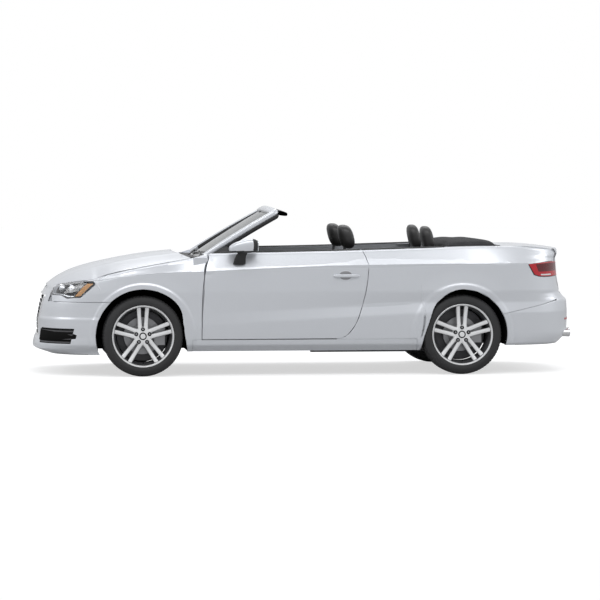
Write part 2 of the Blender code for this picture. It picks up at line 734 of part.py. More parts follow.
def make_fender():
    """Left front fender with wheel house, apron and door hinge pillar."""
    ahead_y = FRONT_AXLE_Y - FRONT_ARCH_RADIUS
    y_values = np.concatenate([np.linspace(FENDER_FRONT_Y, ahead_y, 5),
                               np.linspace(ahead_y + OVERRUN, DOOR_FRONT_TOP_Y, 7)])
    low = lambda y: np.where(y < FRONT_AXLE_Y, BUMPER_SPLIT_Z, SILL_BOTTOM)
    fender = side_panel("fender_left", y_values, low, upper_edge, SKIN_WALL, "silver_paint")
    house = wheel_house("house", FRONT_AXLE_Y, FRONT_ARCH_RADIUS, APRON_X - APRON_WALL / 2,
                        PILLAR_INNER_X + 0.160)
    apron = block("apron", (APRON_X - APRON_WALL, FRONT_APRON_Y, APRON_BOTTOM),
                  (APRON_X, BULKHEAD_Y - SEAT_GAP, APRON_TOP), "black_plastic")
    pillar_y = hinge_y() - SHUT_GAP
    pillar = block("pillar", (PILLAR_INNER_X, BULKHEAD_Y, SILL_TOP),
                   (HALF_WIDTH - SKIN_WALL * 1.2, pillar_y, PILLAR_TOP), "silver_paint")
    foot = block("foot", (SILL_INNER_X, -1.000, SILL_TOP - 0.010),
                 (HALF_WIDTH - SKIN_WALL * 1.5, SILL_FRONT_Y, SILL_TOP + 0.040), "silver_paint")
    fuse(fender, house, apron, pillar, foot)
    cut(fender, arch_cutter(FRONT_AXLE_Y, FRONT_ARCH_RADIUS, APRON_X + APRON_WALL))
    ahead = block("ahead", (LINER_OUTER_X, -HALF_LENGTH, 0.0),
                  (HALF_WIDTH + OVERRUN, FRONT_AXLE_Y, BUMPER_SPLIT_Z), "black_plastic")
    below = block("below", (0.0, SILL_FRONT_Y - SEAT_GAP, 0.0),
                  (HALF_WIDTH + OVERRUN, 0.0, SILL_TOP + SEAT_GAP), "black_plastic")
    lamp = prism("lamp", grown(shares_to_outline(HEADLAMP_SHARES), SEAT_GAP), 0, LAMP_INNER_X,
                 HALF_WIDTH + OVERRUN, "black_plastic")
    door = prism("door_space", door_outline(SHUT_GAP), 0, LINER_OUTER_X, HALF_WIDTH + OVERRUN,
                 "black_plastic")
    sweep = door_sweep("sweep", SHUT_GAP)
    nose = block("nose", (0.0, -HALF_LENGTH, 0.0), (LAMP_INNER_X, FRONT_APRON_Y, HEIGHT),
                 "black_plastic")
    cut(fender, ahead, below, lamp, door, sweep, hood_room(), hood_sweep(), nose)
    fuse(fender, *[make_hinge(z, pillar_y) for z in HINGE_HEIGHTS])
    return fender


def make_shelf(front_y):
    """Level floor over the rear wheel house, drawn in towards the tail with the skin."""
    y = np.linspace(front_y, REAR_WALL_Y, 8)
    z = np.full(len(y), REAR_HOUSE_TOP)
    outer_x = np.minimum(REAR_LINER_OUTER_X, side_x(y, z) - QUARTER_WALL / 2)
    lower = np.stack([[np.full(len(y), REAR_HOUSE_X), outer_x], [y, y], [z, z]], axis=-1)
    return between_grids("shelf", lower + np.array([0.0, 0.0, LINER_WALL]), lower,
                         "black_plastic")


def make_quarter():
    """Left rear quarter panel with its wheel house and deck, from the door to the tail."""
    y_values = np.concatenate([np.linspace(QUARTER_FRONT_Y, REAR_BUMPER_FRONT_Y, 9),
                               np.linspace(REAR_BUMPER_FRONT_Y + OVERRUN, QUARTER_REAR_Y, 6)])
    low = lambda y: np.where(y > REAR_AXLE_Y, REAR_SPLIT_Z, SILL_BOTTOM)
    quarter = side_panel("quarter_left", y_values, low, upper_edge, QUARTER_WALL, "silver_paint")
    house = wheel_house("house", REAR_AXLE_Y, REAR_ARCH_RADIUS, REAR_HOUSE_X, REAR_LINER_OUTER_X)
    front = REAR_AXLE_Y - REAR_ARCH_RADIUS - LINER_GAP - LINER_WALL
    wall = block("wall", (REAR_HOUSE_X, front, BOOT_FLOOR_Z),
                 (REAR_HOUSE_X + LINER_WALL, REAR_WALL_Y, TAIL_PANEL_TOP), "black_plastic")
    fuse(quarter, house, wall, make_shelf(front))
    deck_y = np.linspace(TOP_COVER_FRONT_Y, DECK_REAR_Y, 8)
    inner_x = deck_inner_x(deck_y)
    outer_x = side_x(deck_y, upper_edge(deck_y)) - QUARTER_WALL / 2
    top = upper_edge(deck_y)
    edge = np.array([[inner_x, deck_y, top], [outer_x, deck_y, top]]).transpose(0, 2, 1)
    deck = between_grids("deck", edge - np.array([0.0, 0.0, SEAT_GAP]),
                         edge - np.array([0.0, 0.0, DECK_WALL]), "silver_paint")
    fuse(quarter, deck)
    cut(quarter, arch_cutter(REAR_AXLE_Y, REAR_ARCH_RADIUS, REAR_HOUSE_X + LINER_WALL))
    beside = prism("beside", rear_split_outline(0.0), 0, LINER_OUTER_X, HALF_WIDTH + OVERRUN,
                   "black_plastic")
    behind = prism("behind", rear_split_outline(0.0, REAR_BUMPER_FRONT_Y), 0,
                   TAIL_PANEL_HALF / 2, LINER_OUTER_X + OVERRUN, "black_plastic")
    below = block("below", (0.0, 0.0, 0.0),
                  (HALF_WIDTH + OVERRUN, SILL_REAR_Y, SILL_TOP + SEAT_GAP), "black_plastic")
    lamp = prism("lamp", grown(shares_to_outline(TAIL_LAMP_SHARES), SEAT_GAP), 0, LAMP_INNER_X,
                 HALF_WIDTH + OVERRUN, "black_plastic")
    door = prism("door_space", door_outline(SHUT_GAP), 0, 0.0, HALF_WIDTH + OVERRUN,
                 "black_plastic")
    lid = block("lid", (0.0, LID_AXIS_Y - OVERRUN, LID_BOTTOM_Z - SHUT_GAP),
                (LID_LOW_HALF_WIDTH + SHUT_GAP, HALF_LENGTH, HEIGHT), "black_plastic")
    lip = block("lip", (0.0, LID_AXIS_Y - OVERRUN, TAIL_LIP_Z),
                (LID_HALF_WIDTH + SHUT_GAP, HALF_LENGTH, HEIGHT), "black_plastic")
    cut(quarter, beside, behind, below, lamp, door, lid, lip)
    return quarter


def rear_split_outline(height, start_y=0.0):
    """Outline below the rear bumper's shut line, or above it up to a height."""
    line = shares_to_outline(REAR_SPLIT_SHARES)
    start_y = max(start_y, line[0][0])
    start = (start_y, float(np.interp(start_y, *zip(*line))))
    line = [start] + [(y, z) for y, z in line if y > start_y]
    if height:
        line = [(y, z - SEAT_GAP) for y, z in line]
    return line + [(line[-1][0], height), (line[0][0], height)]


def make_sill():
    """Left sill, from the front wheel house to the rear one."""
    y_values = np.linspace(SILL_FRONT_Y, SILL_REAR_Y - SEAT_GAP, 5)
    return side_panel("sill_left", y_values, level(SILL_BOTTOM), level(SILL_TOP), 0.0,
                      "silver_paint", SILL_INNER_X)


def end_panel(name, front, low, high, wall, side_limit, material):
    """Thick wrap of the nose or tail, both sides, from a limit on the side to the middle."""
    table = NOSE_SETBACK_SHARES if front else TAIL_SETBACK_SHARES
    between = [share * HEIGHT for share, _ in table if low < share * HEIGHT < high]
    heights = [low, *between, high]
    turns = np.linspace(0.0, math.pi / 2, 9)
    grid = []
    for z in heights:
        half = end_ring(z, turns, front)
        whole = np.concatenate([half, half[-2::-1] * np.array([-1.0, 1.0, 1.0])])
        grid.append(whole)
    outer = np.array(grid)
    axle = FRONT_AXLE_Y if front else REAR_AXLE_Y
    depth = np.abs(outer[..., 1] - axle).max()
    shrink = 1 - wall / depth
    inner = outer.copy()
    inner[..., 0] *= 1 - wall / HALF_WIDTH
    inner[..., 1] = axle + (outer[..., 1] - axle) * shrink
    inner[:, 0, 0] = outer[:, 0, 0] - wall
    panel = between_grids(name, outer, inner, material)
    if front:
        box = block("limit", (-HALF_WIDTH - OVERRUN, side_limit, 0.0),
                    (HALF_WIDTH + OVERRUN, OVERRUN, HEIGHT), "black_plastic")
    else:
        box = block("limit", (-HALF_WIDTH - OVERRUN, -OVERRUN, 0.0),
                    (HALF_WIDTH + OVERRUN, side_limit, HEIGHT), "black_plastic")
    return cut(panel, box)


def make_front_bumper():
    """Front bumper from wheel arch to wheel arch, with the grille opening."""
    bumper = end_panel("front_bumper", True, BUMPER_BOTTOM, BUMPER_TOP, BUMPER_WALL,
                       FRONT_AXLE_Y - 0.200, "silver_paint")
    opening = block("opening", (-GRILLE_HALF_WIDTH, -HALF_LENGTH - OVERRUN, GRILLE_LOW_Z),
                    (GRILLE_HALF_WIDTH, FRONT_AXLE_Y - 0.3, GRILLE_HIGH_Z), "black_plastic")
    cut(bumper, opening)
    for side in (-1, 1):
        arch = arch_cutter(FRONT_AXLE_Y, FRONT_ARCH_RADIUS, APRON_X)
        if side < 0:
            arch.data.transform(Matrix.Diagonal((-1.0, 1.0, 1.0, 1.0)))
            arch.data.flip_normals()
        above = block("above", (side * LAMP_INNER_X, -HALF_LENGTH, BUMPER_SPLIT_Z - SEAT_GAP),
                      (side * (HALF_WIDTH + OVERRUN), 0.0, HEIGHT), "black_plastic")
        lamp = prism("lamp", grown(shares_to_outline(HEADLAMP_SHARES), SEAT_GAP), 0,
                     side * LAMP_INNER_X, side * (HALF_WIDTH + OVERRUN), "black_plastic")
        cut(bumper, arch, above, lamp)
    return cut(bumper, hood_room())


def make_grille():
    """Grille frame with level bars, set back in the bumper's opening."""
    turns = np.linspace(0.0, math.pi / 2, 16)
    heights = np.linspace(GRILLE_LOW_Z + SEAT_GAP, GRILLE_HIGH_Z - SEAT_GAP, 7)
    rows = []
    for z in heights:
        ring = end_ring(z, turns, True)
        places = np.linspace(0.0, GRILLE_HALF_WIDTH - SEAT_GAP, 5)
        depths = np.interp(places, ring[::-1, 0], ring[::-1, 1]) + GRILLE_SET_IN
        x = np.concatenate([-places[:0:-1], places])
        y = np.concatenate([depths[:0:-1], depths])
        rows.append(np.stack([x, y, np.full_like(x, z)], axis=-1))
    front = np.array(rows)
    back = front + np.array([0.0, GRILLE_WALL, 0.0])
    grille = between_grids("grille", front, back, "black_plastic")
    inner = GRILLE_HALF_WIDTH - GRILLE_FRAME
    pitch = (GRILLE_HIGH_Z - GRILLE_LOW_Z - GRILLE_FRAME) / GRILLE_BAR_COUNT
    for index in range(GRILLE_BAR_COUNT):
        low = GRILLE_LOW_Z + GRILLE_FRAME + index * pitch
        slot = block("slot", (-inner, -HALF_LENGTH - OVERRUN, low),
                     (inner, FRONT_AXLE_Y, low + pitch - GRILLE_FRAME), "black_plastic")
        cut(grille, slot)
    return grille


def make_rear_bumper():
    """Rear bumper from arch to arch below the boot lid, with the exhaust opening."""
    bumper = end_panel("rear_bumper", False, REAR_BUMPER_BOTTOM, LID_BOTTOM_Z, BUMPER_WALL,
                       REAR_AXLE_Y + REAR_ARCH_RADIUS / 2, "silver_paint")
    above = prism("above", rear_split_outline(HEIGHT), 0, -HALF_WIDTH - OVERRUN,
                  HALF_WIDTH + OVERRUN, "black_plastic")
    pipe = round_bar("pipe", (EXHAUST_TIP_X, REAR_BUMPER_FRONT_Y, EXHAUST_Z),
                     (EXHAUST_TIP_X, HALF_LENGTH + OVERRUN, EXHAUST_Z),
                     EXHAUST_RADIUS + SHUT_GAP, "black_plastic")
    other = arch_cutter(REAR_AXLE_Y, REAR_ARCH_RADIUS, REAR_HOUSE_X)
    other.data.transform(Matrix.Diagonal((-1.0, 1.0, 1.0, 1.0)))
    other.data.flip_normals()
    return cut(bumper, above, pipe, arch_cutter(REAR_AXLE_Y, REAR_ARCH_RADIUS, REAR_HOUSE_X), other)


def make_lamp(name, shares, front, material):
    """Lamp body that fills its shut line in side view, with the skin's curve outside."""
    outline = shares_to_outline(shares)
    low = min(z for _, z in outline) - OVERRUN
    high = max(z for _, z in outline) + OVERRUN
    lamp = end_panel(name, front, low, high, LAMP_WALL, FRONT_AXLE_Y if front else REAR_AXLE_Y,
                     material)
    shape = prism("shape", outline, 0, LAMP_INNER_X + SEAT_GAP, HALF_WIDTH + OVERRUN,
                  "black_plastic")
    combine(lamp, [shape], "INTERSECT")
    return cut(lamp, hood_room()) if front else lamp


def hood_grid():
    """Crowned hood surface between the two upper edges of the body sides."""
    across = np.linspace(-1.0, 1.0, 9)
    rows = []
    for step in HOOD_ROW_SHARES:
        corner_x = side_x(HOOD_AXIS_Y, upper_edge(HOOD_AXIS_Y)) - HOOD_EDGE_INSET
        y = HOOD_FRONT_Y + (hood_rear_y(across * corner_x) - HOOD_FRONT_Y) * step
        x = across * (side_x(y, upper_edge(y)) - HOOD_EDGE_INSET)
        edge, crown = upper_edge(y), line_height(HOOD_CROWN_SHARES, y)
        z = crown + (edge - crown) * np.abs(across) ** HOOD_CROWN_POWER
        rows.append(np.stack([x, y, z], axis=-1))
    return np.array(rows)


def make_hood():
    """Hood panel, crowned across and along."""
    outer = hood_grid()
    inner = outer - np.array([0.0, 0.0, HOOD_WALL])
    return between_grids("hood", outer, inner, "silver_paint")


def hood_room():
    """Cutter that clears the hood's place, with a shut gap under it and round it."""
    grid = np.pad(hood_grid(), ((1, 1), (1, 1), (0, 0)), mode="edge")
    grid[:, 0, 0] -= SHUT_GAP
    grid[:, -1, 0] += SHUT_GAP
    grid[0, :, 1] -= OVERRUN
    grid[-1, :, 1] += SHUT_GAP
    lower = grid - np.array([0.0, 0.0, HOOD_WALL + SHUT_GAP])
    upper = grid + np.array([0.0, 0.0, OVERRUN])
    return between_grids("hood_room", lower, upper, "black_plastic")


def hood_sweep():
    """Cutter that clears the left rear corner of the hood as it turns about its hinge."""
    corner = hood_grid()[-1, -1]
    radius = math.hypot(corner[1] - HOOD_AXIS_Y, corner[2] - HOOD_AXIS_Z) + SHUT_GAP
    start = (LAMP_INNER_X, HOOD_AXIS_Y, HOOD_AXIS_Z)
    end = (corner[0] + SHUT_GAP, HOOD_AXIS_Y, HOOD_AXIS_Z)
    return round_bar("hood_sweep", start, end, radius, "black_plastic", SMALL_SIDES * 2)


def make_boot_lid():
    """Boot lid: deck, lip and rear face in one folded panel."""
    across = np.linspace(-1.0, 1.0, 9)
    outer, inner = [], []
    front = LID_AXIS_Y - LID_FRONT_INSET
    for reach_share, z_share, forward_share, down_share, width, face in LID_SPINE_SHARES:
        x = across * width
        z = np.full_like(x, LID_BOTTOM_Z + (LID_TOP_Z - LID_BOTTOM_Z) * z_share)
        rim = end_y(x, z, False) - LID_TUCK
        y = rim if face else front + (rim - front) * reach_share
        z = z - LID_CROWN * across ** 2 * (0 if face else 1)
        outer.append(np.stack([x, y, z], axis=-1))
        shift = np.array([0.0, -LID_WALL * forward_share, -LID_WALL * down_share])
        inner.append(outer[-1] + shift)
    lid = between_grids("boot_lid", np.array(outer), np.array(inner), "silver_paint")
    half = HINGE_BARREL_HEIGHT / 2 + RUNNING_GAP
    room = LID_BARREL_RADIUS + SHUT_GAP
    for side in (-1, 1):
        x = side * LID_HINGE_X
        cut(lid, block("notch", (x - half, front - OVERRUN, BOOT_FLOOR_Z),
                       (x + half, LID_AXIS_Y + room, LID_AXIS_Z + room), "black_plastic"))
    return lid


def make_tyre(name, x, y):
    """Tyre ring with rounded shoulders, seated outside the rim, that stands on a flat side."""
    half = TYRE_WIDTH / 2
    bead = RIM_RADIUS + SEAT_GAP * 2
    tread = TYRE_RADIUS / math.cos(math.pi / ROUND_SIDES)
    wall = tread - bead
    profile = [(bead, -half * 0.86), (bead + wall * 0.45, -half), (bead + wall * 0.8, -half * 0.94),
               (tread, -half * 0.74), (tread, half * 0.74),
               (bead + wall * 0.8, half * 0.94), (bead + wall * 0.45, half), (bead, half * 0.86)]
    return turned(name, profile, (x, y, TYRE_RADIUS), 0, ROUND_SIDES, "rubber", lead_share=0.5)


def make_wheel(name, y, disc_radius):
    """Left wheel: rim with twin spokes, hub and brake disc."""
    x, z, half = HALF_TRACK, TYRE_RADIUS, RIM_WIDTH / 2
    inner = RIM_RADIUS - RIM_WALL
    barrel = turned(name, [(RIM_RADIUS, -half), (RIM_RADIUS, half), (inner, half), (inner, -half)],
                    (x, y, z), 0, ROUND_SIDES, "alloy", lead_share=0.5)
    face = x + half - SPOKE_SET_IN
    hub_face = x - HUB_FACE_INSET
    disc_face = hub_face + DISC_THICKNESS
    hub = round_bar("hub", (hub_face, y, z), (face, y, z), HUB_RADIUS, "alloy", ROUND_SIDES)
    disc = round_bar("disc", (disc_face, y, z), (disc_face + DISC_THICKNESS, y, z), disc_radius,
                     "steel", ROUND_SIDES)
    spokes = []
    for index in range(SPOKE_COUNT):
        angle = 2 * math.pi * index / SPOKE_COUNT + math.pi / 2
        for hand in (-1, 1):
            root, tip = SPOKE_HALF_PAIR * hand, (SPOKE_HALF_PAIR + SPOKE_FLARE) * hand
            start, end, wide = HUB_RADIUS * SPOKE_ROOT_SHARE, RIM_RADIUS - RIM_WALL * 0.9, SPOKE_WIDTH / 2
            outline = [(start, root - wide), (end, tip - wide), (end, tip + wide), (start, root + wide)]
            turn = [(y + r * math.cos(angle) - t * math.sin(angle),
                     z + r * math.sin(angle) + t * math.cos(angle)) for r, t in outline]
            spokes.append(prism("spoke", turn, 0, face - SPOKE_DEPTH, face - SEAT_GAP, "alloy"))
    return fuse(barrel, hub, disc, *spokes)


def make_knuckle():
    """Left front knuckle: spindle boss, upright, ball joint seats and brake caliper."""
    king_x = HALF_TRACK - KINGPIN_INSET
    face_x = HALF_TRACK - HUB_FACE_INSET - RUNNING_GAP
    y, z = FRONT_AXLE_Y, TYRE_RADIUS
    low = z - UPRIGHT_HEIGHT / 2
    upright = block("knuckle_left", (king_x - UPRIGHT_THICKNESS, y - UPRIGHT_HALF_WIDTH, low),
                    (king_x, y + UPRIGHT_HALF_WIDTH, low + UPRIGHT_HEIGHT), "steel")
    boss = round_bar("boss", (king_x - UPRIGHT_THICKNESS / 2, y, z), (face_x, y, z),
                     SPINDLE_RADIUS, "steel")
    disc_mid = HALF_TRACK - HUB_FACE_INSET + DISC_THICKNESS * 1.5
    reach = DISC_THICKNESS / 2 + BRAKE_CLEARANCE + CALIPER_CHEEK
    radial = DISC_RADIUS - CALIPER_DEPTH
    top = DISC_RADIUS + BRAKE_CLEARANCE + CALIPER_CROWN
    caliper = block("caliper", (disc_mid - reach, y + radial, z - CALIPER_HEIGHT / 2),
                    (disc_mid + reach, y + top, z + CALIPER_HEIGHT / 2), "steel")
    bracket = block("bracket", (king_x - UPRIGHT_THICKNESS, y, z - UPRIGHT_HALF_WIDTH),
                    (disc_mid - reach + 0.012, y + radial + 0.030, z + UPRIGHT_HALF_WIDTH), "steel")
    fuse(upright, boss, caliper, bracket)
    slot = round_bar("slot", (disc_mid - DISC_THICKNESS / 2 - BRAKE_CLEARANCE, y, z),
                     (disc_mid + DISC_THICKNESS / 2 + BRAKE_CLEARANCE, y, z),
                     DISC_RADIUS + BRAKE_CLEARANCE, "steel", ROUND_SIDES)
    hub_room = round_bar("hub_room", (face_x + SEAT_GAP, y, z), (HALF_TRACK, y, z),
                         HUB_RADIUS + BRAKE_CLEARANCE, "steel", ROUND_SIDES)
    cut(upright, slot, hub_room)
    return upright


def make_front_axle():
    """Subframe with lower arms that reach the seats under both knuckles."""
    y = FRONT_AXLE_Y
    seat = TYRE_RADIUS - UPRIGHT_HEIGHT / 2 - RUNNING_GAP
    top = seat - BALL_SEAT_HEIGHT
    king_x = HALF_TRACK - KINGPIN_INSET
    axle = block("front_axle", (-SUBFRAME_HALF_WIDTH, y - SUBFRAME_LENGTH / 2,
                                top - SUBFRAME_HEIGHT / 2),
                 (SUBFRAME_HALF_WIDTH, y + SUBFRAME_LENGTH / 2, top + SUBFRAME_HEIGHT / 2), "steel")
    for side in (-1, 1):
        arm = prism("arm", [(side * (SUBFRAME_HALF_WIDTH - 0.02), y - SUBFRAME_LENGTH / 2),
                            (side * king_x, y - ARM_HALF_WIDTH), (side * king_x, y + ARM_HALF_WIDTH),
                            (side * (SUBFRAME_HALF_WIDTH - 0.02), y + SUBFRAME_LENGTH / 2)], 2,
                    top - ARM_THICKNESS, top, "steel")
        ball = round_bar("ball", (side * (king_x - UPRIGHT_THICKNESS / 2), y, top - ARM_THICKNESS / 2),
                         (side * (king_x - UPRIGHT_THICKNESS / 2), y, seat), STRUT_RADIUS * 0.8, "steel")
        posts = []
        for hand in (-1, 1):
            near = y + hand * (SUBFRAME_LENGTH / 2 - AXLE_POST_LENGTH)
            far = y + hand * SUBFRAME_LENGTH / 2
            posts.append(block("post", (side * (SUBFRAME_HALF_WIDTH - ARM_THICKNESS), near, top),
                               (side * APRON_X, far, APRON_BOTTOM - SEAT_GAP), "steel"))
        fuse(axle, arm, ball, *posts)
    return axle


def make_rear_axle():
    """Rear subframe hung under the boot floor, half beams to both wheels, fixed calipers."""
    y, z = REAR_AXLE_Y, TYRE_RADIUS
    face_x = HALF_TRACK - HUB_FACE_INSET - RUNNING_GAP
    axle = round_bar("rear_axle", (-face_x, y, z), (face_x, y, z), REAR_BEAM_RADIUS, "steel")
    half = REAR_SUBFRAME_LENGTH / 2
    frame = block("frame", (-REAR_SUBFRAME_HALF, y - half, z - REAR_BEAM_RADIUS),
                  (REAR_SUBFRAME_HALF, y + half, z + REAR_BEAM_RADIUS / 2), "steel")
    mounts = []
    for side in (-1, 1):
        for hand in (-1, 1):
            place = (side * (REAR_SUBFRAME_HALF - STRUT_RADIUS * 2),
                     y + hand * (half - STRUT_RADIUS * 1.5))
            mounts.append(round_bar("mount", (*place, z), (*place, BOOT_FLOOR_Z - SEAT_GAP),
                                    STRUT_RADIUS, "steel"))
    fuse(axle, frame, *mounts)
    disc_mid = HALF_TRACK - HUB_FACE_INSET + DISC_THICKNESS * 1.5
    reach = DISC_THICKNESS / 2 + BRAKE_CLEARANCE + CALIPER_CHEEK
    radius = DISC_RADIUS * REAR_DISC_SHARE
    tall = CALIPER_HEIGHT / 2 * REAR_DISC_SHARE
    for side in (-1, 1):
        caliper = block("caliper", (side * (disc_mid - reach), y + radius - CALIPER_DEPTH, z - tall),
                        (side * (disc_mid + reach), y + radius + BRAKE_CLEARANCE + CALIPER_CROWN,
                         z + tall), "steel")
        bracket = block("bracket", (side * (face_x - UPRIGHT_THICKNESS), y, z - BRACKET_HALF),
                        (side * (disc_mid - reach + BRACKET_LAP), y + radius - CALIPER_DEPTH / 2,
                         z + BRACKET_HALF), "steel")
        fuse(axle, caliper, bracket)
        slot = round_bar("slot", (side * (disc_mid - DISC_THICKNESS / 2 - BRAKE_CLEARANCE), y, z),
                         (side * (disc_mid + DISC_THICKNESS / 2 + BRAKE_CLEARANCE), y, z),
                         radius + BRAKE_CLEARANCE, "steel", ROUND_SIDES)
        hub_room = round_bar("hub_room", (side * (face_x + SEAT_GAP), y, z),
                             (side * HALF_TRACK, y, z), HUB_RADIUS + BRAKE_CLEARANCE, "steel",
                             ROUND_SIDES)
        cut(axle, slot, hub_room)
    return axle


def subframe_top():
    """Height of the front subframe's upper face, where the engine stands."""
    seat = TYRE_RADIUS - UPRIGHT_HEIGHT / 2 - RUNNING_GAP
    return seat - BALL_SEAT_HEIGHT + SUBFRAME_HEIGHT / 2


def make_engine():
    """Engine as one plain block that stands on the front subframe."""
    low = (-ENGINE_HALF_WIDTH, ENGINE_FRONT_Y, subframe_top() + SEAT_GAP)
    high = (ENGINE_HALF_WIDTH, ENGINE_REAR_Y, ENGINE_TOP_Z)
    return block("engine", low, high, "steel", ENGINE_EDGE)


def make_floor():
    """Floor pan with its tunnel, between the sills."""
    edge = SILL_INNER_X - SEAT_GAP
    pan = block("floor_pan", (-edge, SILL_FRONT_Y, FLOOR_BOTTOM),
                (edge, FLOOR_REAR_Y, FLOOR_BOTTOM + FLOOR_WALL), "black_plastic")
    cut_left = arch_cutter(REAR_AXLE_Y, REAR_ARCH_RADIUS + LINER_GAP + LINER_WALL * 2, 0.55)
    cut_right = arch_cutter(REAR_AXLE_Y, REAR_ARCH_RADIUS + LINER_GAP + LINER_WALL * 2, 0.55)
    cut_right.data.transform(Matrix.Diagonal((-1.0, 1.0, 1.0, 1.0)))
    cut_right.data.flip_normals()
    cut(pan, cut_left, cut_right)
    top = FLOOR_BOTTOM + FLOOR_WALL + TUNNEL_HEIGHT
    tunnel = block("tunnel", (-TUNNEL_HALF_WIDTH, BULKHEAD_Y + BULKHEAD_WALL + SEAT_GAP,
                              FLOOR_BOTTOM),
                   (TUNNEL_HALF_WIDTH, FLOOR_REAR_Y, top), "black_plastic")
    ramp = block("ramp", (-FLOOR_RAMP_HALF, FLOOR_REAR_Y - FLOOR_RAMP_WALL, FLOOR_BOTTOM),
                 (FLOOR_RAMP_HALF, FLOOR_REAR_Y, BOOT_FLOOR_Z - SEAT_GAP), "black_plastic")
    return fuse(pan, tunnel, ramp)


def make_bulkhead():
    """Engine bulkhead with the cowl tray over it, cut for the glass and the hood's levers."""
    edge = PILLAR_INNER_X - SEAT_GAP
    base = COWL_TOP - COWL_WALL
    wall = block("bulkhead", (-edge, BULKHEAD_Y, FLOOR_BOTTOM + FLOOR_WALL + SEAT_GAP),
                 (edge, BULKHEAD_Y + BULKHEAD_WALL, base + COWL_WALL / 4), "black_plastic")
    across = np.linspace(-edge, edge, 9)
    outline = [(float(x), float(hood_rear_y(x) + 2 * SHUT_GAP)) for x in across]
    outline += [(edge, COWL_REAR_Y), (-edge, COWL_REAR_Y)]
    cowl = prism("cowl", outline, 2, base, COWL_TOP, "black_plastic")
    fuse(wall, cowl)
    reach = HINGE_BARREL_HEIGHT / 2 + HINGE_ARM_WIDTH + SHUT_GAP
    for side in (-1, 1):
        x = side * HOOD_HINGE_X
        slot = block("slot", (x - reach, COWL_FRONT_Y, HOOD_AXIS_Z - HINGE_BARREL_RADIUS - SHUT_GAP),
                     (x + reach, HOOD_AXIS_Y + HINGE_BARREL_RADIUS + SHUT_GAP, HEIGHT),
                     "black_plastic")
        cut(wall, slot)
    return cut(wall, glass_room())


def hood_rear_y(x):
    """Place along the car of the hood's rear edge at a distance from the centre plane."""
    return HOOD_REAR_CENTRE_Y + HOOD_REAR_BOW * (x / HALF_WIDTH) ** 2


def pillar_path(steps):
    """Centre line of the windscreen frame, from foot to foot."""
    foot, head = Vector(PILLAR_FOOT), Vector(PILLAR_HEAD)
    points = [foot.lerp(head, step) for step in np.linspace(0.0, 1.0, steps)]
    arc = []
    for share in np.linspace(1.0, 0.0, steps)[1:]:
        bow = 1 - share ** 2
        arc.append(Vector((PILLAR_HEAD[0] * share,
                           PILLAR_HEAD[1] + (HEADER_CROWN_Y - PILLAR_HEAD[1]) * bow,
                           PILLAR_HEAD[2] + (HEADER_CROWN_Z - PILLAR_HEAD[2]) * bow)))
    half = points + arc
    other = [Vector((-point.x, point.y, point.z)) for point in reversed(half[:-1])]
    return half + other


def windscreen_grid(grow):
    """Grid of the glass between the cowl line and the header line."""
    across = np.linspace(-1.0, 1.0, 9)
    rows = []
    for step in np.linspace(-grow, 1.0 + grow, 6):
        bow = 1 - across ** 2
        foot = np.stack([across * PILLAR_FOOT[0], PILLAR_FOOT[1] + (GLASS_FOOT_CROWN_Y
                         - PILLAR_FOOT[1]) * bow, np.full_like(across, GLASS_FOOT_Z)], axis=-1)
        head = np.stack([across * PILLAR_HEAD[0], PILLAR_HEAD[1] + (HEADER_CROWN_Y
                         - PILLAR_HEAD[1]) * bow, PILLAR_HEAD[2] + (HEADER_CROWN_Z
                         - PILLAR_HEAD[2]) * bow], axis=-1)
        rows.append(foot + (head - foot) * step)
    return np.array(rows)


def make_windscreen():
    """Curved glass that fills the frame and stands in the cowl."""
    grid = windscreen_grid(0.0)
    normal = np.array([0.0, -0.5, 0.866]) * GLASS_WALL
    return between_grids("windscreen", grid + normal / 2, grid - normal / 2, "glass")


def glass_room():
    """Cutter that leaves a seat gap all round the glass."""
    grid = windscreen_grid(0.002)
    grid[..., 0] *= 1 + 2 * SEAT_GAP / PILLAR_HEAD[0]
    normal = np.array([0.0, -0.5, 0.866]) * (GLASS_WALL + 4 * SEAT_GAP)
    return between_grids("glass_room", grid + normal / 2, grid - normal / 2, "glass")


def make_frame():
    """Windscreen frame: both pillars and the header as one swept bar."""
    path = pillar_path(6)
    rings = []
    for index, point in enumerate(path):
        before, after = path[max(index - 1, 0)], path[min(index + 1, len(path) - 1)]
        along = (after - before).normalized()
        outward = Vector((0.0, -0.5, 0.866))
        outward = (outward - along * outward.dot(along)).normalized()
        beside = along.cross(outward)
        ring = []
        for angle in np.arange(8) * math.pi / 4:
            ring.append(point + beside * (PILLAR_HALF_WIDTH * math.cos(angle))
                        + outward * (PILLAR_HALF_DEPTH * math.sin(angle)))
        rings.append(ring)
    points = [p for ring in rings for p in ring]
    faces = [tuple(range(8)), tuple(range(len(points) - 1, len(points) - 9, -1))]
    for ring in range(len(rings) - 1):
        for side in range(8):
            beside = (side + 1) % 8
            faces.append((ring * 8 + side, ring * 8 + beside, (ring + 1) * 8 + beside,
                          (ring + 1) * 8 + side))
    frame = solid("windscreen_frame", points, faces, "silver_paint")
    foot_cut = block("foot_cut", (-HALF_WIDTH, -1.2, 0.5), (HALF_WIDTH, 0.0, COWL_TOP + SEAT_GAP),
                     "black_plastic")
    cut(frame, glass_room(), foot_cut)
    return frame


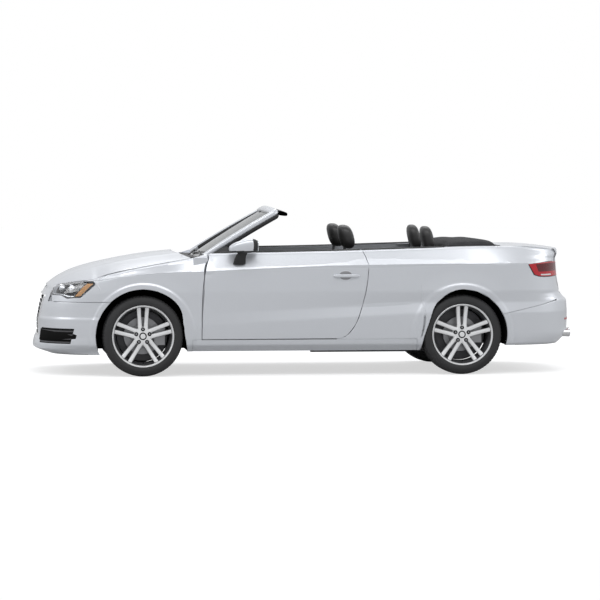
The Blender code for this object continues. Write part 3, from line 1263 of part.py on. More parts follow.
def make_seat(name, x, y, head_z, back_top):
    """Front seat: cushion, backrest and head restraint as one soft form."""
    half = SEAT_HALF_WIDTH
    cushion = block(name, (x - half, y - 0.42, 0.32), (x + half, y + 0.12, 0.50), "leather",
                    SEAT_EDGE)
    back = prism("back", [(y + 0.02, 0.36), (y + 0.14, 0.36), (y + 0.32, back_top),
                          (y + 0.22, back_top)], 0, x - half * 0.96, x + half * 0.96, "leather")
    head_half = HEADREST_HALF_WIDTH
    head = block("head", (x - head_half, y + 0.200, back_top - 0.02),
                 (x + head_half, y + 0.310, head_z), "leather", SEAT_EDGE * 0.8)
    base = block("base", (x - half * 0.8, y - 0.34, FLOOR_BOTTOM + FLOOR_WALL + SEAT_GAP),
                 (x + half * 0.8, y + 0.08, 0.36), "black_plastic")
    return fuse(cushion, back, head, base)


def make_rear_seat():
    """Rear bench with two backrests and head restraints."""
    y = REAR_SEAT_Y
    bench = block("rear_seat", (-0.560, y - 0.40, 0.36), (0.560, y + 0.04, 0.52), "leather",
                  SEAT_EDGE)
    back = prism("back", [(y - 0.04, 0.40), (y + 0.08, 0.40), (y + 0.16, 0.96), (y + 0.08, 0.98)], 0,
                 -0.560, 0.560, "leather")
    stand = block("stand", (-0.500, y - 0.30, FLOOR_BOTTOM + FLOOR_WALL + SEAT_GAP),
                  (0.500, y, 0.40), "black_plastic")
    tunnel = block("tunnel_room", (-TUNNEL_HALF_WIDTH - SEAT_GAP, y - 0.5, 0.0),
                   (TUNNEL_HALF_WIDTH + SEAT_GAP, y + 0.1,
                    FLOOR_BOTTOM + FLOOR_WALL + TUNNEL_HEIGHT + SEAT_GAP), "black_plastic")
    fuse(bench, back, stand)
    for side in (-1, 1):
        head = block("head", (side * SEAT_X - HEADREST_HALF_WIDTH, y + 0.050, 0.930),
                     (side * SEAT_X + HEADREST_HALF_WIDTH, y + 0.150, REAR_SEAT_HEAD_Z), "leather",
                     SEAT_EDGE * 0.8)
        fuse(bench, head)
    return cut(bench, tunnel)


def make_dashboard():
    """Dashboard across the cabin with the column boss for the steering wheel."""
    outline = [(DASH_FRONT_Y, DASH_BOTTOM_Z), (DASH_REAR_Y - 0.04, DASH_BOTTOM_Z),
               (DASH_REAR_Y, DASH_BOTTOM_Z + 0.12), (DASH_REAR_Y - 0.02, DASH_TOP_Z - 0.05),
               (DASH_REAR_Y - 0.12, DASH_TOP_Z), (COWL_REAR_Y + SHUT_GAP, DASH_TOP_Z),
               (COWL_REAR_Y + SHUT_GAP, COWL_TOP - COWL_WALL - SEAT_GAP),
               (DASH_FRONT_Y, COWL_TOP - COWL_WALL - SEAT_GAP)]
    dash = prism("dashboard", outline, 0, -DASH_HALF_WIDTH, DASH_HALF_WIDTH, "black_plastic")
    back = block("back", (-DASH_HALF_WIDTH, BULKHEAD_Y + BULKHEAD_WALL + SEAT_GAP, 0.700),
                 (DASH_HALF_WIDTH, DASH_FRONT_Y + 0.02, 0.850), "black_plastic")
    axis = Vector((0.0, -math.cos(STEERING_RAKE), -math.sin(STEERING_RAKE)))
    centre = Vector((SEAT_X, STEERING_Y, STEERING_Z))
    column = round_bar("column", centre + axis * (0.062 + RUNNING_GAP), centre + axis * 0.260, 0.035,
                       "black_plastic")
    return fuse(dash, back, column)


def make_steering_wheel():
    """Steering wheel: rim, three spokes and hub, turned to the column's rake."""
    sides = 20
    ring = []
    for angle in np.arange(6) * math.pi / 3:
        ring.append((STEERING_RADIUS - STEERING_RIM + STEERING_RIM * math.cos(angle),
                     STEERING_RIM * math.sin(angle)))
    wheel = turned("steering_wheel", ring, (0.0, 0.0, 0.0), 1, sides, "leather")
    hub = round_bar("hub", (0.0, -0.062, 0.0), (0.0, 0.010, 0.0), 0.050, "leather")
    spokes = []
    for angle in (0.0, math.pi, -math.pi / 2):
        tip = (math.cos(angle) * (STEERING_RADIUS - STEERING_RIM), 0.0,
               math.sin(angle) * (STEERING_RADIUS - STEERING_RIM))
        spokes.append(round_bar("spoke", (0.0, -0.010, 0.0), tip, 0.011, "leather", 8))
    fuse(wheel, hub, *spokes)
    place = Matrix.Translation((SEAT_X, STEERING_Y, STEERING_Z)) @ Matrix.Rotation(STEERING_RAKE, 4, "X")
    wheel.data.transform(place)
    return wheel


def make_mirror():
    """Left door mirror: foot on the door skin and a rounded housing."""
    y_mid = sum(MIRROR_FOOT_Y) / 2
    foot_x = float(side_x(y_mid, 0.900)) - 0.020
    head = block("mirror_left", (MIRROR_HEAD_X[0], MIRROR_HEAD_Y[0], MIRROR_HEAD_Z[0]),
                 (MIRROR_HEAD_X[1], MIRROR_HEAD_Y[1], MIRROR_HEAD_Z[1]), "silver_paint", MIRROR_EDGE)
    foot = prism("foot", [(foot_x, MIRROR_FOOT_Z), (foot_x + MIRROR_FOOT_WALL, MIRROR_FOOT_Z),
                          (MIRROR_HEAD_X[0] + MIRROR_FOOT_WALL, MIRROR_HEAD_Z[0] + MIRROR_EDGE),
                          (foot_x, MIRROR_HEAD_Z[0] + MIRROR_EDGE)], 1, *MIRROR_FOOT_Y,
                 "black_plastic")
    mirror = fuse(head, foot)
    skin = side_panel("skin", np.linspace(-0.75, -0.40, 6), level(SILL_TOP), upper_edge, DOOR_WALL,
                      "black_plastic")
    skin.data.transform(Matrix.Translation((SEAT_GAP * 2, 0.0, 0.0)))
    return cut(mirror, skin)


def make_folded_top():
    """Stowed fabric top under its cover, behind the rear seats."""
    front, rear = TOP_COVER_FRONT_Y, TOP_COVER_REAR_Y
    across = np.linspace(-1.0, 1.0, 9)
    along = np.linspace(0.0, 1.0, 7)
    rows = []
    for step in along:
        y = np.full_like(across, front + (rear - front) * step)
        lift = math.sin(math.pi * min(step * 1.1, 1.0)) ** 0.5
        z = TOP_COVER_BASE_Z + 0.07 + (TOP_COVER_HEIGHT - TOP_COVER_BASE_Z - 0.07) * lift * (
            1 - np.abs(across) ** 3)
        rows.append(np.stack([across * (deck_inner_x(y) - SEAT_GAP), y, z], axis=-1))
    outer = np.array(rows)
    inner = outer.copy()
    inner[..., 2] = TOP_COVER_BASE_Z
    return between_grids("folded_top", outer, inner, "fabric")


def make_rear_structure():
    """Boot floor, tail panel and rear seat bulkhead."""
    edge = REAR_HOUSE_X - SEAT_GAP
    floor = block("boot_floor", (-edge, FLOOR_REAR_Y - FLOOR_RAMP_WALL, BOOT_FLOOR_Z),
                  (edge, TAIL_PANEL_Y, BOOT_FLOOR_Z + BOOT_FLOOR_WALL), "black_plastic")
    tail = block("tail", (-TAIL_PANEL_HALF, TAIL_PANEL_Y - TAIL_PANEL_WALL, BOOT_FLOOR_Z),
                 (TAIL_PANEL_HALF, TAIL_PANEL_Y, TAIL_PANEL_TOP - SHUT_GAP), "black_plastic")
    shelf_top = TOP_COVER_BASE_Z - SEAT_GAP
    wall = block("wall", (-edge, SEAT_BULKHEAD_Y, BOOT_FLOOR_Z),
                 (edge, SEAT_BULKHEAD_Y + SEAT_BULKHEAD_WALL, shelf_top), "black_plastic")
    lip_front = TOP_COVER_REAR_Y + SEAT_GAP
    shelf = block("shelf", (-edge, SEAT_BULKHEAD_Y, shelf_top - SEAT_BULKHEAD_WALL),
                  (edge, lip_front + SHELF_LIP_WALL, shelf_top), "black_plastic")
    lip = block("lip", (-edge, lip_front, shelf_top - SEAT_BULKHEAD_WALL),
                (edge, lip_front + SHELF_LIP_WALL, SHELF_LIP_TOP), "black_plastic")
    fuse(floor, tail, wall, shelf, lip)
    half = HINGE_BARREL_HEIGHT / 2
    for side in (-1, 1):
        x = side * LID_HINGE_X
        barrel = round_bar("barrel", (x - half, LID_AXIS_Y, LID_AXIS_Z),
                           (x + half, LID_AXIS_Y, LID_AXIS_Z), LID_BARREL_RADIUS, "steel")
        root = (lip_front + SHELF_LIP_WALL / 2, SHELF_LIP_TOP - HINGE_ARM_WIDTH)
        arm = prism("arm", lever_outline(LID_AXIS_Y, LID_AXIS_Z, root, SHELF_LIP_WALL / 2), 0,
                    x - half, x + half, "steel")
        fuse(floor, fuse(barrel, arm))
    return floor


def make_exhaust():
    """Exhaust pipe under the floor with two tips at the rear."""
    z = EXHAUST_Z
    pipe = round_bar("exhaust", (EXHAUST_TIP_X, 1.700, z), (EXHAUST_TIP_X, 2.185, z), EXHAUST_RADIUS,
                     "steel")
    middle = sum(SILENCER_Y) / 2
    box = block("silencer", (-EXHAUST_RADIUS * 3, SILENCER_Y[0], z - EXHAUST_RADIUS * 2),
                (EXHAUST_TIP_X + EXHAUST_RADIUS * 2, SILENCER_Y[1], z + EXHAUST_RADIUS * 2), "steel",
                EXHAUST_RADIUS / 2)
    front = round_bar("front", (0.0, EXHAUST_FRONT_Y, EXHAUST_LOW_Z),
                      (0.0, EXHAUST_BEND_Y, EXHAUST_LOW_Z), EXHAUST_RADIUS, "steel")
    rise = round_bar("rise", (0.0, EXHAUST_BEND_Y - EXHAUST_RADIUS, EXHAUST_LOW_Z),
                     (0.0, middle, z), EXHAUST_RADIUS, "steel")
    hanger = block("hanger", (SEAT_X - EXHAUST_RADIUS, middle - EXHAUST_RADIUS, z),
                   (SEAT_X, middle + EXHAUST_RADIUS, BOOT_FLOOR_Z - SEAT_GAP), "steel")
    return fuse(pipe, box, front, rise, hanger)


def make_console():
    """Centre console between the front seats with the gear lever."""
    top = FLOOR_BOTTOM + FLOOR_WALL + TUNNEL_HEIGHT + SEAT_GAP
    console = block("console", (-0.095, -0.560, top), (0.095, 0.300, 0.560), "black_plastic", 0.012)
    lever = round_bar("lever", (0.0, -0.300, 0.54), (0.0, -0.330, 0.68), 0.018, "black_plastic", 12)
    return fuse(console, lever)


def add_hinges(lid, carrier, axis_y, axis_z, places, lid_root, carrier_root):
    """Join a lid to its carrier with pairs of eyes on the lid either side of a barrel."""
    half = HINGE_BARREL_HEIGHT / 2
    for x in places:
        barrel = round_bar("barrel", (x - half, axis_y, axis_z), (x + half, axis_y, axis_z),
                           HINGE_BARREL_RADIUS, "steel")
        arm = prism("arm", lever_outline(axis_y, axis_z, carrier_root), 0, x - half, x + half, "steel")
        fuse(carrier, fuse(barrel, arm))
        for hand in (-1, 1):
            near = x + hand * (half + RUNNING_GAP)
            far = near + hand * HINGE_ARM_WIDTH
            eye = round_bar("eye", (near, axis_y, axis_z), (far, axis_y, axis_z),
                            HINGE_BARREL_RADIUS, "steel")
            leaf = prism("leaf", lever_outline(axis_y, axis_z, lid_root), 0, min(near, far),
                         max(near, far), "steel")
            fuse(lid, fuse(eye, leaf))


def lever_outline(y, z, root, half_width=HINGE_ARM_WIDTH / 2):
    """Side outline of a lever from a hinge axis to its root, both in side view."""
    along = Vector((root[0] - y, root[1] - z)).normalized()
    beside = Vector((-along.y, along.x)) * half_width
    return [(y - beside.x, z - beside.y), (root[0] - beside.x, root[1] - beside.y),
            (root[0] + beside.x, root[1] + beside.y), (y + beside.x, z + beside.y)]


def main():
    """Build every sub-part and place its origin."""
    for thing in list(bpy.data.objects):
        bpy.data.objects.remove(thing, do_unlink=True)
    make_floor()
    mirrored(make_sill(), "sill_right")
    bulkhead = make_bulkhead()
    mirrored(make_fender(), "fender_right")
    mirrored(make_quarter(), "quarter_right")
    make_front_bumper()
    make_grille()
    make_rear_bumper()
    mirrored(make_lamp("headlamp_left", HEADLAMP_SHARES, True, "lamp_clear"), "headlamp_right")
    mirrored(make_lamp("tail_lamp_left", TAIL_LAMP_SHARES, False, "lamp_red"), "tail_lamp_right")
    hood = make_hood()
    add_hinges(hood, bulkhead, HOOD_AXIS_Y, HOOD_AXIS_Z, (-HOOD_HINGE_X, HOOD_HINGE_X),
               (HOOD_LEVER_Y, HOOD_LEVER_Z), (HOOD_AXIS_Y, HINGE_ROOT_Z))
    lid = make_boot_lid()
    make_rear_structure()
    door = make_door()
    mirror = make_mirror()
    mirrored(mirror, "mirror_right")
    door_right = mirrored(door, "door_right")
    knuckle = make_knuckle()
    knuckle_right = mirrored(knuckle, "knuckle_right")
    make_front_axle()
    make_rear_axle()
    for end, y, disc in (("front", FRONT_AXLE_Y, DISC_RADIUS),
                         ("rear", REAR_AXLE_Y, DISC_RADIUS * REAR_DISC_SHARE)):
        for part, piece in (("tyre", make_tyre(f"tyre_{end}_left", HALF_TRACK, y)),
                            ("wheel", make_wheel(f"wheel_{end}_left", y, disc))):
            other = mirrored(piece, f"{part}_{end}_right")
            set_origin(piece, (HALF_TRACK, y, TYRE_RADIUS))
            set_origin(other, (-HALF_TRACK, y, TYRE_RADIUS))
    make_engine()
    make_dashboard()
    set_origin(make_steering_wheel(), (SEAT_X, STEERING_Y, STEERING_Z))
    make_console()
    make_seat("seat_left", SEAT_X, FRONT_SEAT_Y, FRONT_SEAT_HEAD_Z, SEAT_BACK_TOP)
    make_seat("seat_right", -SEAT_X, FRONT_SEAT_Y, FRONT_SEAT_HEAD_Z, SEAT_BACK_TOP)
    make_rear_seat()
    make_frame()
    make_windscreen()
    make_folded_top()
    make_exhaust()
    for side, thing in ((1, door), (-1, door_right)):
        set_origin(thing, (side * DOOR_HINGE_X, hinge_y(), SILL_TOP))
    for side, thing in ((1, knuckle), (-1, knuckle_right)):
        set_origin(thing, (side * (HALF_TRACK - KINGPIN_INSET), FRONT_AXLE_Y, TYRE_RADIUS))
    set_origin(hood, (0.0, HOOD_AXIS_Y, HOOD_AXIS_Z))
    set_origin(lid, (0.0, LID_AXIS_Y, LID_AXIS_Z))


main()
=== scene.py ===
"""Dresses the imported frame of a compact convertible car, its soft top stowed, as a studio picture.

World frame: metres, +Z up, ground at Z = 0, front towards -Y, left side towards +X. The outer
skin is one formula: at each height the half width follows a chain of named lines, and past each
axle the plan closes as a superellipse. Panels are patches of that skin.
"""

import json
import logging
import math
from collections.abc import Callable
from dataclasses import dataclass, field
from enum import Enum

import bmesh
import bpy
import numpy as np
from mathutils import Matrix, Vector

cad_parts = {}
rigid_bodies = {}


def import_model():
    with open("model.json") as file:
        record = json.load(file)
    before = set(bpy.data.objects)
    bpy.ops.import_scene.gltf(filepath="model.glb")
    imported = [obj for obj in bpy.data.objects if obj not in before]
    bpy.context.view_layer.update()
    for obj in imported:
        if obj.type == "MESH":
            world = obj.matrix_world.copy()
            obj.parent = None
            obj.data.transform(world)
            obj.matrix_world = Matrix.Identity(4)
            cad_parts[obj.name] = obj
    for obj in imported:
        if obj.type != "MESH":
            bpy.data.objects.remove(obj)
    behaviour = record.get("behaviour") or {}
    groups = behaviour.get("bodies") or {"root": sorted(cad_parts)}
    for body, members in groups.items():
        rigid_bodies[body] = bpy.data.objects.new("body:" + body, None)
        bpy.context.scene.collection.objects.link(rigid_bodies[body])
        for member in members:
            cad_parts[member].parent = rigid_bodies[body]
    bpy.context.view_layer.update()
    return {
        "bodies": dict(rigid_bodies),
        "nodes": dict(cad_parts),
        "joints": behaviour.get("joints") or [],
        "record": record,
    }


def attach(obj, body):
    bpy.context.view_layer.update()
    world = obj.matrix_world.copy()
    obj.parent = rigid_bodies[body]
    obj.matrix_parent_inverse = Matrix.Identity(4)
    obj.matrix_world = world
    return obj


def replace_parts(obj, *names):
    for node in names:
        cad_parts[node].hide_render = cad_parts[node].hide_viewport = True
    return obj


LOG = logging.getLogger("convertible")

Table = tuple[tuple[float, float], ...]
Array = np.ndarray
TINY = 1e-12


class Side(Enum):
    """The two sides of the car, as the sign of X."""

    LEFT = 1
    RIGHT = -1

    @property
    def word(self) -> str:
        """Name of the side in piece and body names."""
        return self.name.lower()


class End(Enum):
    """The two ends of the car, as the sign of Y."""

    FRONT = -1
    REAR = 1

    @property
    def word(self) -> str:
        """Name of the end in piece and body names."""
        return self.name.lower()


def eased(table: Table, place: Array) -> Array:
    """Read a table along a smooth curve through its points.

    Formula: a cubic between neighbouring points, whose slope at each point is the harmonic mean
    of the slopes on both sides, or zero where they turn.

    Args:
        table: pairs of place and value, places rising.
        place: where to read it.

    Returns:
        The values, of the same shape as place.
    """
    x, y = np.array(table, float).T
    step = np.diff(x)
    slope = np.diff(y) / step
    product = slope[:-1] * slope[1:]
    total = slope[:-1] + slope[1:]
    total = np.where(np.abs(total) < TINY, 1.0, total)
    inner = np.where(product > 0, 2 * product / total, 0.0)
    tangent = np.concatenate([slope[:1], inner, slope[-1:]])
    place = np.clip(np.asarray(place, float), x[0], x[-1])
    cell = np.clip(np.searchsorted(x, place, side="right") - 1, 0, len(step) - 1)
    width = step[cell]
    t = (place - x[cell]) / width
    return ((1 + 2 * t) * (1 - t) ** 2 * y[cell] + t * (1 - t) ** 2 * width * tangent[cell]
            + t ** 2 * (3 - 2 * t) * y[cell + 1] - t ** 2 * (1 - t) * width * tangent[cell + 1])


def smooth_step(low: float, high: float, value: Array) -> Array:
    """Rise from 0 to 1 between two values, as 3t squared minus 2t cubed."""
    t = np.clip((np.asarray(value, float) - low) / (high - low), 0.0, 1.0)
    return t * t * (3 - 2 * t)


def signed_power(value: Array, power: float) -> Array:
    """Raise the size of a value to a power and keep its sign."""
    return np.sign(value) * np.abs(value) ** power


def full_turn(count: int) -> Array:
    """Angles spread evenly round a circle, the last one step short of the first."""
    return np.linspace(0, 2 * math.pi, count, endpoint=False)


def capped(rings: Array) -> Array:
    """Close a stack of rings with a ring drawn into one point at each end."""
    ends = rings[[0, -1]].mean(axis=1, keepdims=True) + 0 * rings[[0, -1]]
    return np.concatenate([ends[:1], rings, ends[1:]])


def along(points: Array, count: int) -> Array:
    """Spread points evenly along a polyline, by its running length.

    Args:
        points: the polyline, one row each.
        count: how many points to return.

    Returns:
        The new rows.
    """
    points = np.asarray(points, float)
    reach = np.concatenate([[0.0], np.cumsum(np.linalg.norm(np.diff(points, axis=0), axis=1))])
    places = np.linspace(0.0, reach[-1], count)
    return np.stack([np.interp(places, reach, column) for column in points.T], axis=-1)


def rounded(points: Array, count: int, passes: int = 2, closed: bool = False) -> Array:
    """Round a polyline's corners by cutting each at a quarter and three quarters, then spread it."""
    points = np.asarray(points, float)
    for _ in range(passes):
        following = np.roll(points, -1, axis=0) if closed else points[1:]
        here = points if closed else points[:-1]
        cut = np.stack([here * 0.75 + following * 0.25, here * 0.25 + following * 0.75], axis=1)
        cut = cut.reshape(-1, points.shape[1])
        points = cut if closed else np.concatenate([points[:1], cut, points[-1:]])
    if closed:
        return along(np.concatenate([points, points[:1]]), count + 1)[:-1]
    return along(points, count)


def grid_normals(points: Array) -> Array:
    """Unit normals of a grid of points, as the cross product of its two slopes."""
    cross = np.cross(np.gradient(points, axis=0), np.gradient(points, axis=1))
    size = np.linalg.norm(cross, axis=-1, keepdims=True)
    return cross / np.maximum(size, TINY)


def coons(bottom: Array, top: Array, left: Array, right: Array) -> Array:
    """Fill four edges with a patch.

    Formula: the blend of bottom and top, plus the blend of left and right, less the blend of the
    four corners.

    Args:
        bottom: points from left to right.
        top: as many points from left to right.
        left: points from bottom to top.
        right: as many points from bottom to top.

    Returns:
        Grid of points, rows from bottom to top.
    """
    u = np.linspace(0.0, 1.0, len(bottom))[None, :, None]
    v = np.linspace(0.0, 1.0, len(left))[:, None, None]
    ruled = (1 - v) * bottom[None] + v * top[None]
    crossed = (1 - u) * left[:, None] + u * right[:, None]
    corners = ((1 - u) * (1 - v) * bottom[0] + u * (1 - v) * bottom[-1]
               + (1 - u) * v * top[0] + u * v * top[-1])
    return ruled + crossed - corners


@dataclass(frozen=True)
class BodyShape:
    """The car's outer skin as a formula, with the tables of its lines.

    Tables hold shares: places of half the length, heights of the height, widths of half the
    width. Setbacks are shares of the overhang at that end.
    """

    length: float = 4.421
    width: float = 1.793
    height: float = 1.350
    front_overhang: float = 0.861
    wheelbase: float = 2.595
    track: float = 1.535
    tyre_radius: float = 0.325
    arch_radii: tuple[float, float] = (0.380, 0.370)
    nose_power: float = 3.2
    tail_power: float = 3.6
    proud: float = 0.0048
    crease_blend: float = 0.007
    sill_bottom: float = 0.199
    sill_face: float = 0.250
    sill_top: float = 0.292
    shut_gap: float = 0.0055
    hollow_rise: float = 0.092
    flank_height: float = 0.675
    line_gap: float = 0.030
    shoulder_drop: float = 0.004
    lip_swell: float = 0.0070
    lip_band: tuple[float, float] = (0.030, 0.055)
    arch_swell: float = 0.004
    arch_band: float = 0.160
    sill_widths: tuple[float, ...] = (0.905, 0.955, 0.962)
    flank_widths: tuple[float, ...] = (0.994, 0.9915)
    upper: Table = (
        (-0.955, 0.519), (-0.905, 0.546), (-0.860, 0.560), (-0.796, 0.574), (-0.724, 0.611),
        (-0.633, 0.643), (-0.543, 0.670), (-0.430, 0.704), (-0.362, 0.731), (0.090, 0.745),
        (0.407, 0.760), (0.633, 0.770), (0.769, 0.767), (0.882, 0.752), (0.959, 0.741))
    shoulder: Table = (
        (-1.000, 0.550), (-0.749, 0.579), (-0.680, 0.601), (-0.576, 0.616), (-0.399, 0.626),
        (-0.185, 0.643), (0.074, 0.659), (0.211, 0.662), (0.458, 0.668), (1.000, 0.669))
    crease: Table = ((-0.407, 0.302), (0.407, 0.370))
    crease_width: Table = ((-0.407, 0.976), (0.000, 0.982), (0.407, 0.984))
    hollow_width: Table = ((-0.407, 0.9815), (0.000, 0.973), (0.250, 0.967), (0.407, 0.967))
    widest: Table = ((-0.610, 0.985), (-0.400, 0.990), (0.100, 0.988), (0.563, 1.000))
    upper_width: Table = (
        (-0.959, 0.860), (-0.543, 0.900), (-0.400, 0.935), (0.200, 0.955), (0.500, 0.945),
        (0.800, 0.900), (0.960, 0.880))
    hood_crown: Table = (
        (-0.960, 0.520), (-0.942, 0.542), (-0.912, 0.578), (-0.850, 0.627), (-0.758, 0.669),
        (-0.575, 0.722), (-0.489, 0.736), (-0.421, 0.747))
    nose: Table = (
        (0.080, 0.300), (0.127, 0.140), (0.145, 0.050), (0.162, 0.000), (0.210, 0.015),
        (0.234, 0.033), (0.320, 0.032), (0.385, 0.045), (0.425, 0.057), (0.527, 0.130),
        (0.578, 0.215), (0.630, 0.310), (0.700, 0.430))
    tail: Table = (
        (0.150, 0.160), (0.185, 0.070), (0.252, 0.004), (0.333, 0.000), (0.434, 0.006),
        (0.463, 0.042), (0.493, 0.072), (0.690, 0.105), (0.720, 0.090), (0.741, 0.090),
        (0.770, 0.120))

    @property
    def half_length(self) -> float:
        """Half the car's length."""
        return self.length / 2

    @property
    def half_width(self) -> float:
        """Half the car's width."""
        return self.width / 2

    def axle(self, end: End) -> float:
        """Place of an axle along the car."""
        front = -self.half_length + self.front_overhang
        return front if end is End.FRONT else front + self.wheelbase

    def metres(self, shares: Table) -> Array:
        """Turn pairs of place and height shares into metres."""
        return np.array(shares, float) * [self.half_length, self.height]

    def line(self, table: Table, y: Array) -> Array:
        """Height of a line that runs along the car."""
        return eased(table, np.asarray(y, float) / self.half_length) * self.height

    def edge(self, y: Array) -> Array:
        """Height of the side's upper edge: hood line, belt and deck edge."""
        return self.line(self.upper, y)

    def reach(self, end: End, z: Array) -> Array:
        """Length from an axle to the middle of the nose or tail at each height."""
        overhang = self.front_overhang
        if end is End.REAR:
            overhang = self.length - self.wheelbase - self.front_overhang
        table = self.nose if end is End.FRONT else self.tail
        return overhang * (1 - eased(table, np.asarray(z, float) / self.height)) + self.proud

    def power(self, end: End) -> float:
        """Power of the superellipse that closes the plan at an end."""
        return self.nose_power if end is End.FRONT else self.tail_power

    def side_width(self, y: Array, z: Array) -> Array:
        """Half width before the ends close in.

        Formula: straight between the named lines from the sill up to the edge, averaged over a
        short height so that each line becomes a narrow round, times the widest share there.

        Args:
            y: places along the car.
            z: heights.

        Returns:
            Half widths in metres.
        """
        y, z = np.broadcast_arrays(np.asarray(y, float), np.asarray(z, float))
        share = y / self.half_length
        edge = self.edge(y)
        shoulder = np.minimum(self.line(self.shoulder, y), edge - self.shoulder_drop)
        crease = self.line(self.crease, y)
        hollow = crease + self.hollow_rise
        flank = np.maximum(np.full(y.shape, self.flank_height), hollow + self.line_gap)
        flank = np.minimum(flank, shoulder - self.line_gap)
        heights = [np.full(y.shape, h) for h in (self.sill_bottom, self.sill_face, self.sill_top)]
        heights += [crease, hollow, flank, shoulder, edge]
        widths = [np.full(y.shape, w) for w in self.sill_widths]
        widths += [eased(self.crease_width, share), eased(self.hollow_width, share)]
        widths += [np.full(y.shape, w) for w in self.flank_widths]
        widths += [eased(self.upper_width, share)]
        total = np.zeros(y.shape)
        for shift in np.linspace(-1.0, 1.0, 5) * self.crease_blend:
            width = widths[0].copy()
            for low, high, below, above in zip(heights, heights[1:], widths, widths[1:]):
                t = np.clip((z + shift - low) / np.maximum(high - low, 1e-4), 0.0, 1.0)
                width = np.where(z + shift >= low, below + (above - below) * t, width)
            total += width / 5
        full = total * eased(self.widest, share) * self.half_width + self.proud
        return full + self.flares(y, z)

    def flares(self, y: Array, z: Array) -> Array:
        """Outward swell of the skin round both wheel arches, in metres."""
        swell = np.zeros(np.broadcast(y, z).shape)
        for end, radius in zip(End, self.arch_radii):
            away = np.hypot(y - self.axle(end), z - self.tyre_radius) - radius
            lip = self.lip_swell * (1 - smooth_step(*self.lip_band, away))
            swell = swell + lip + self.arch_swell * (1 - smooth_step(0.0, self.arch_band, away))
        return swell

    def turn(self, end: End, y: Array, z: Array) -> Array:
        """Plan coordinate of a place: 0 at the axle, 1 in the middle of the nose or tail."""
        depth, power = self.reach(end, z), self.power(end)
        ahead = (np.asarray(y, float) - self.axle(end)) * end.value / depth
        angle = np.arcsin(np.clip(ahead, 0.0, 1.0) ** (power / 2))
        scale = (math.pi / 2) ** (2 / power)
        return np.where(ahead < 0, ahead / scale, (angle / (math.pi / 2)) ** (2 / power))

    def turn_at(self, end: End, x: Array, z: Array) -> Array:
        """Plan coordinate where the rounded end has a given half width."""
        power = self.power(end)
        near = self.axle(end) + end.value * self.reach(end, z) * 0.85
        wide = self.side_width(near, z)
        angle = np.arccos(np.clip(np.asarray(x, float) / wide, 0.0, 1.0) ** (power / 2))
        return (angle / (math.pi / 2)) ** (2 / power)

    def skin(self, end: End, turn: Array, z: Array) -> Array:
        """Points of the skin.

        Formula: along the car, the reach times the sine of the turn to the power 2/p. Across it,
        the side's half width times the cosine to the same power.

        Args:
            end: which end the plan coordinate belongs to.
            turn: plan coordinate, negative between the axles.
            z: heights.

        Returns:
            Points, with a last axis of three.
        """
        turn, z = np.broadcast_arrays(np.asarray(turn, float), np.asarray(z, float))
        depth, power = self.reach(end, z), self.power(end)
        angle = np.clip(turn, 0.0, 1.0) ** (power / 2) * math.pi / 2
        scale = (math.pi / 2) ** (2 / power)
        ahead = np.where(turn < 0, turn * scale, np.sin(angle) ** (2 / power))
        y = self.axle(end) + end.value * depth * ahead
        across = np.where(turn < 0, 1.0, np.maximum(np.cos(angle), 0.0) ** (2 / power))
        return np.stack([self.side_width(y, z) * across, y, z], axis=-1)


SHAPE = BodyShape()


class Pattern(Enum):
    """Surface patterns that a finish can carry."""

    PLAIN = "plain"
    FLAKE = "flake"
    GRAIN = "grain"
    HIDE = "hide"
    WEAVE = "weave"


def pattern_group(pattern: Pattern) -> bpy.types.NodeTree:
    """Node group that turns a place and a cell size into a height and a tone.

    Formula: flakes are the random tone of small cells, grain is fine noise, hide is the distance
    to the nearest cell border, and weave is the higher of two crossed waves.

    Args:
        pattern: which pattern to build.

    Returns:
        The group, made on first use.
    """
    name = f"pattern_{pattern.value}"
    group = bpy.data.node_groups.get(name)
    if group is not None:
        return group
    group = bpy.data.node_groups.new(name, "ShaderNodeTree")
    group.interface.new_socket("Place", in_out="INPUT", socket_type="NodeSocketVector")
    group.interface.new_socket("Scale", in_out="INPUT", socket_type="NodeSocketFloat")
    group.interface.new_socket("Height", in_out="OUTPUT", socket_type="NodeSocketFloat")
    nodes, links = group.nodes, group.links
    source = nodes.new("NodeGroupInput")
    target = nodes.new("NodeGroupOutput")
    if pattern is Pattern.WEAVE:
        higher = nodes.new("ShaderNodeMath")
        higher.operation = "MAXIMUM"
        for index, direction in enumerate("XY"):
            wave = nodes.new("ShaderNodeTexWave")
            wave.bands_direction = direction
            links.new(source.outputs["Place"], wave.inputs["Vector"])
            links.new(source.outputs["Scale"], wave.inputs["Scale"])
            links.new(wave.outputs["Fac"], higher.inputs[index])
        height = higher.outputs[0]
    elif pattern in (Pattern.HIDE, Pattern.FLAKE):
        cells = nodes.new("ShaderNodeTexVoronoi")
        cells.feature = "DISTANCE_TO_EDGE" if pattern is Pattern.HIDE else "F1"
        links.new(source.outputs["Place"], cells.inputs["Vector"])
        links.new(source.outputs["Scale"], cells.inputs["Scale"])
        height = cells.outputs["Distance"]
    else:
        noise = nodes.new("ShaderNodeTexNoise")
        noise.inputs["Detail"].default_value = 3.0
        links.new(source.outputs["Place"], noise.inputs["Vector"])
        links.new(source.outputs["Scale"], noise.inputs["Scale"])
        height = noise.outputs["Fac"]
    links.new(height, target.inputs["Height"])
    return group


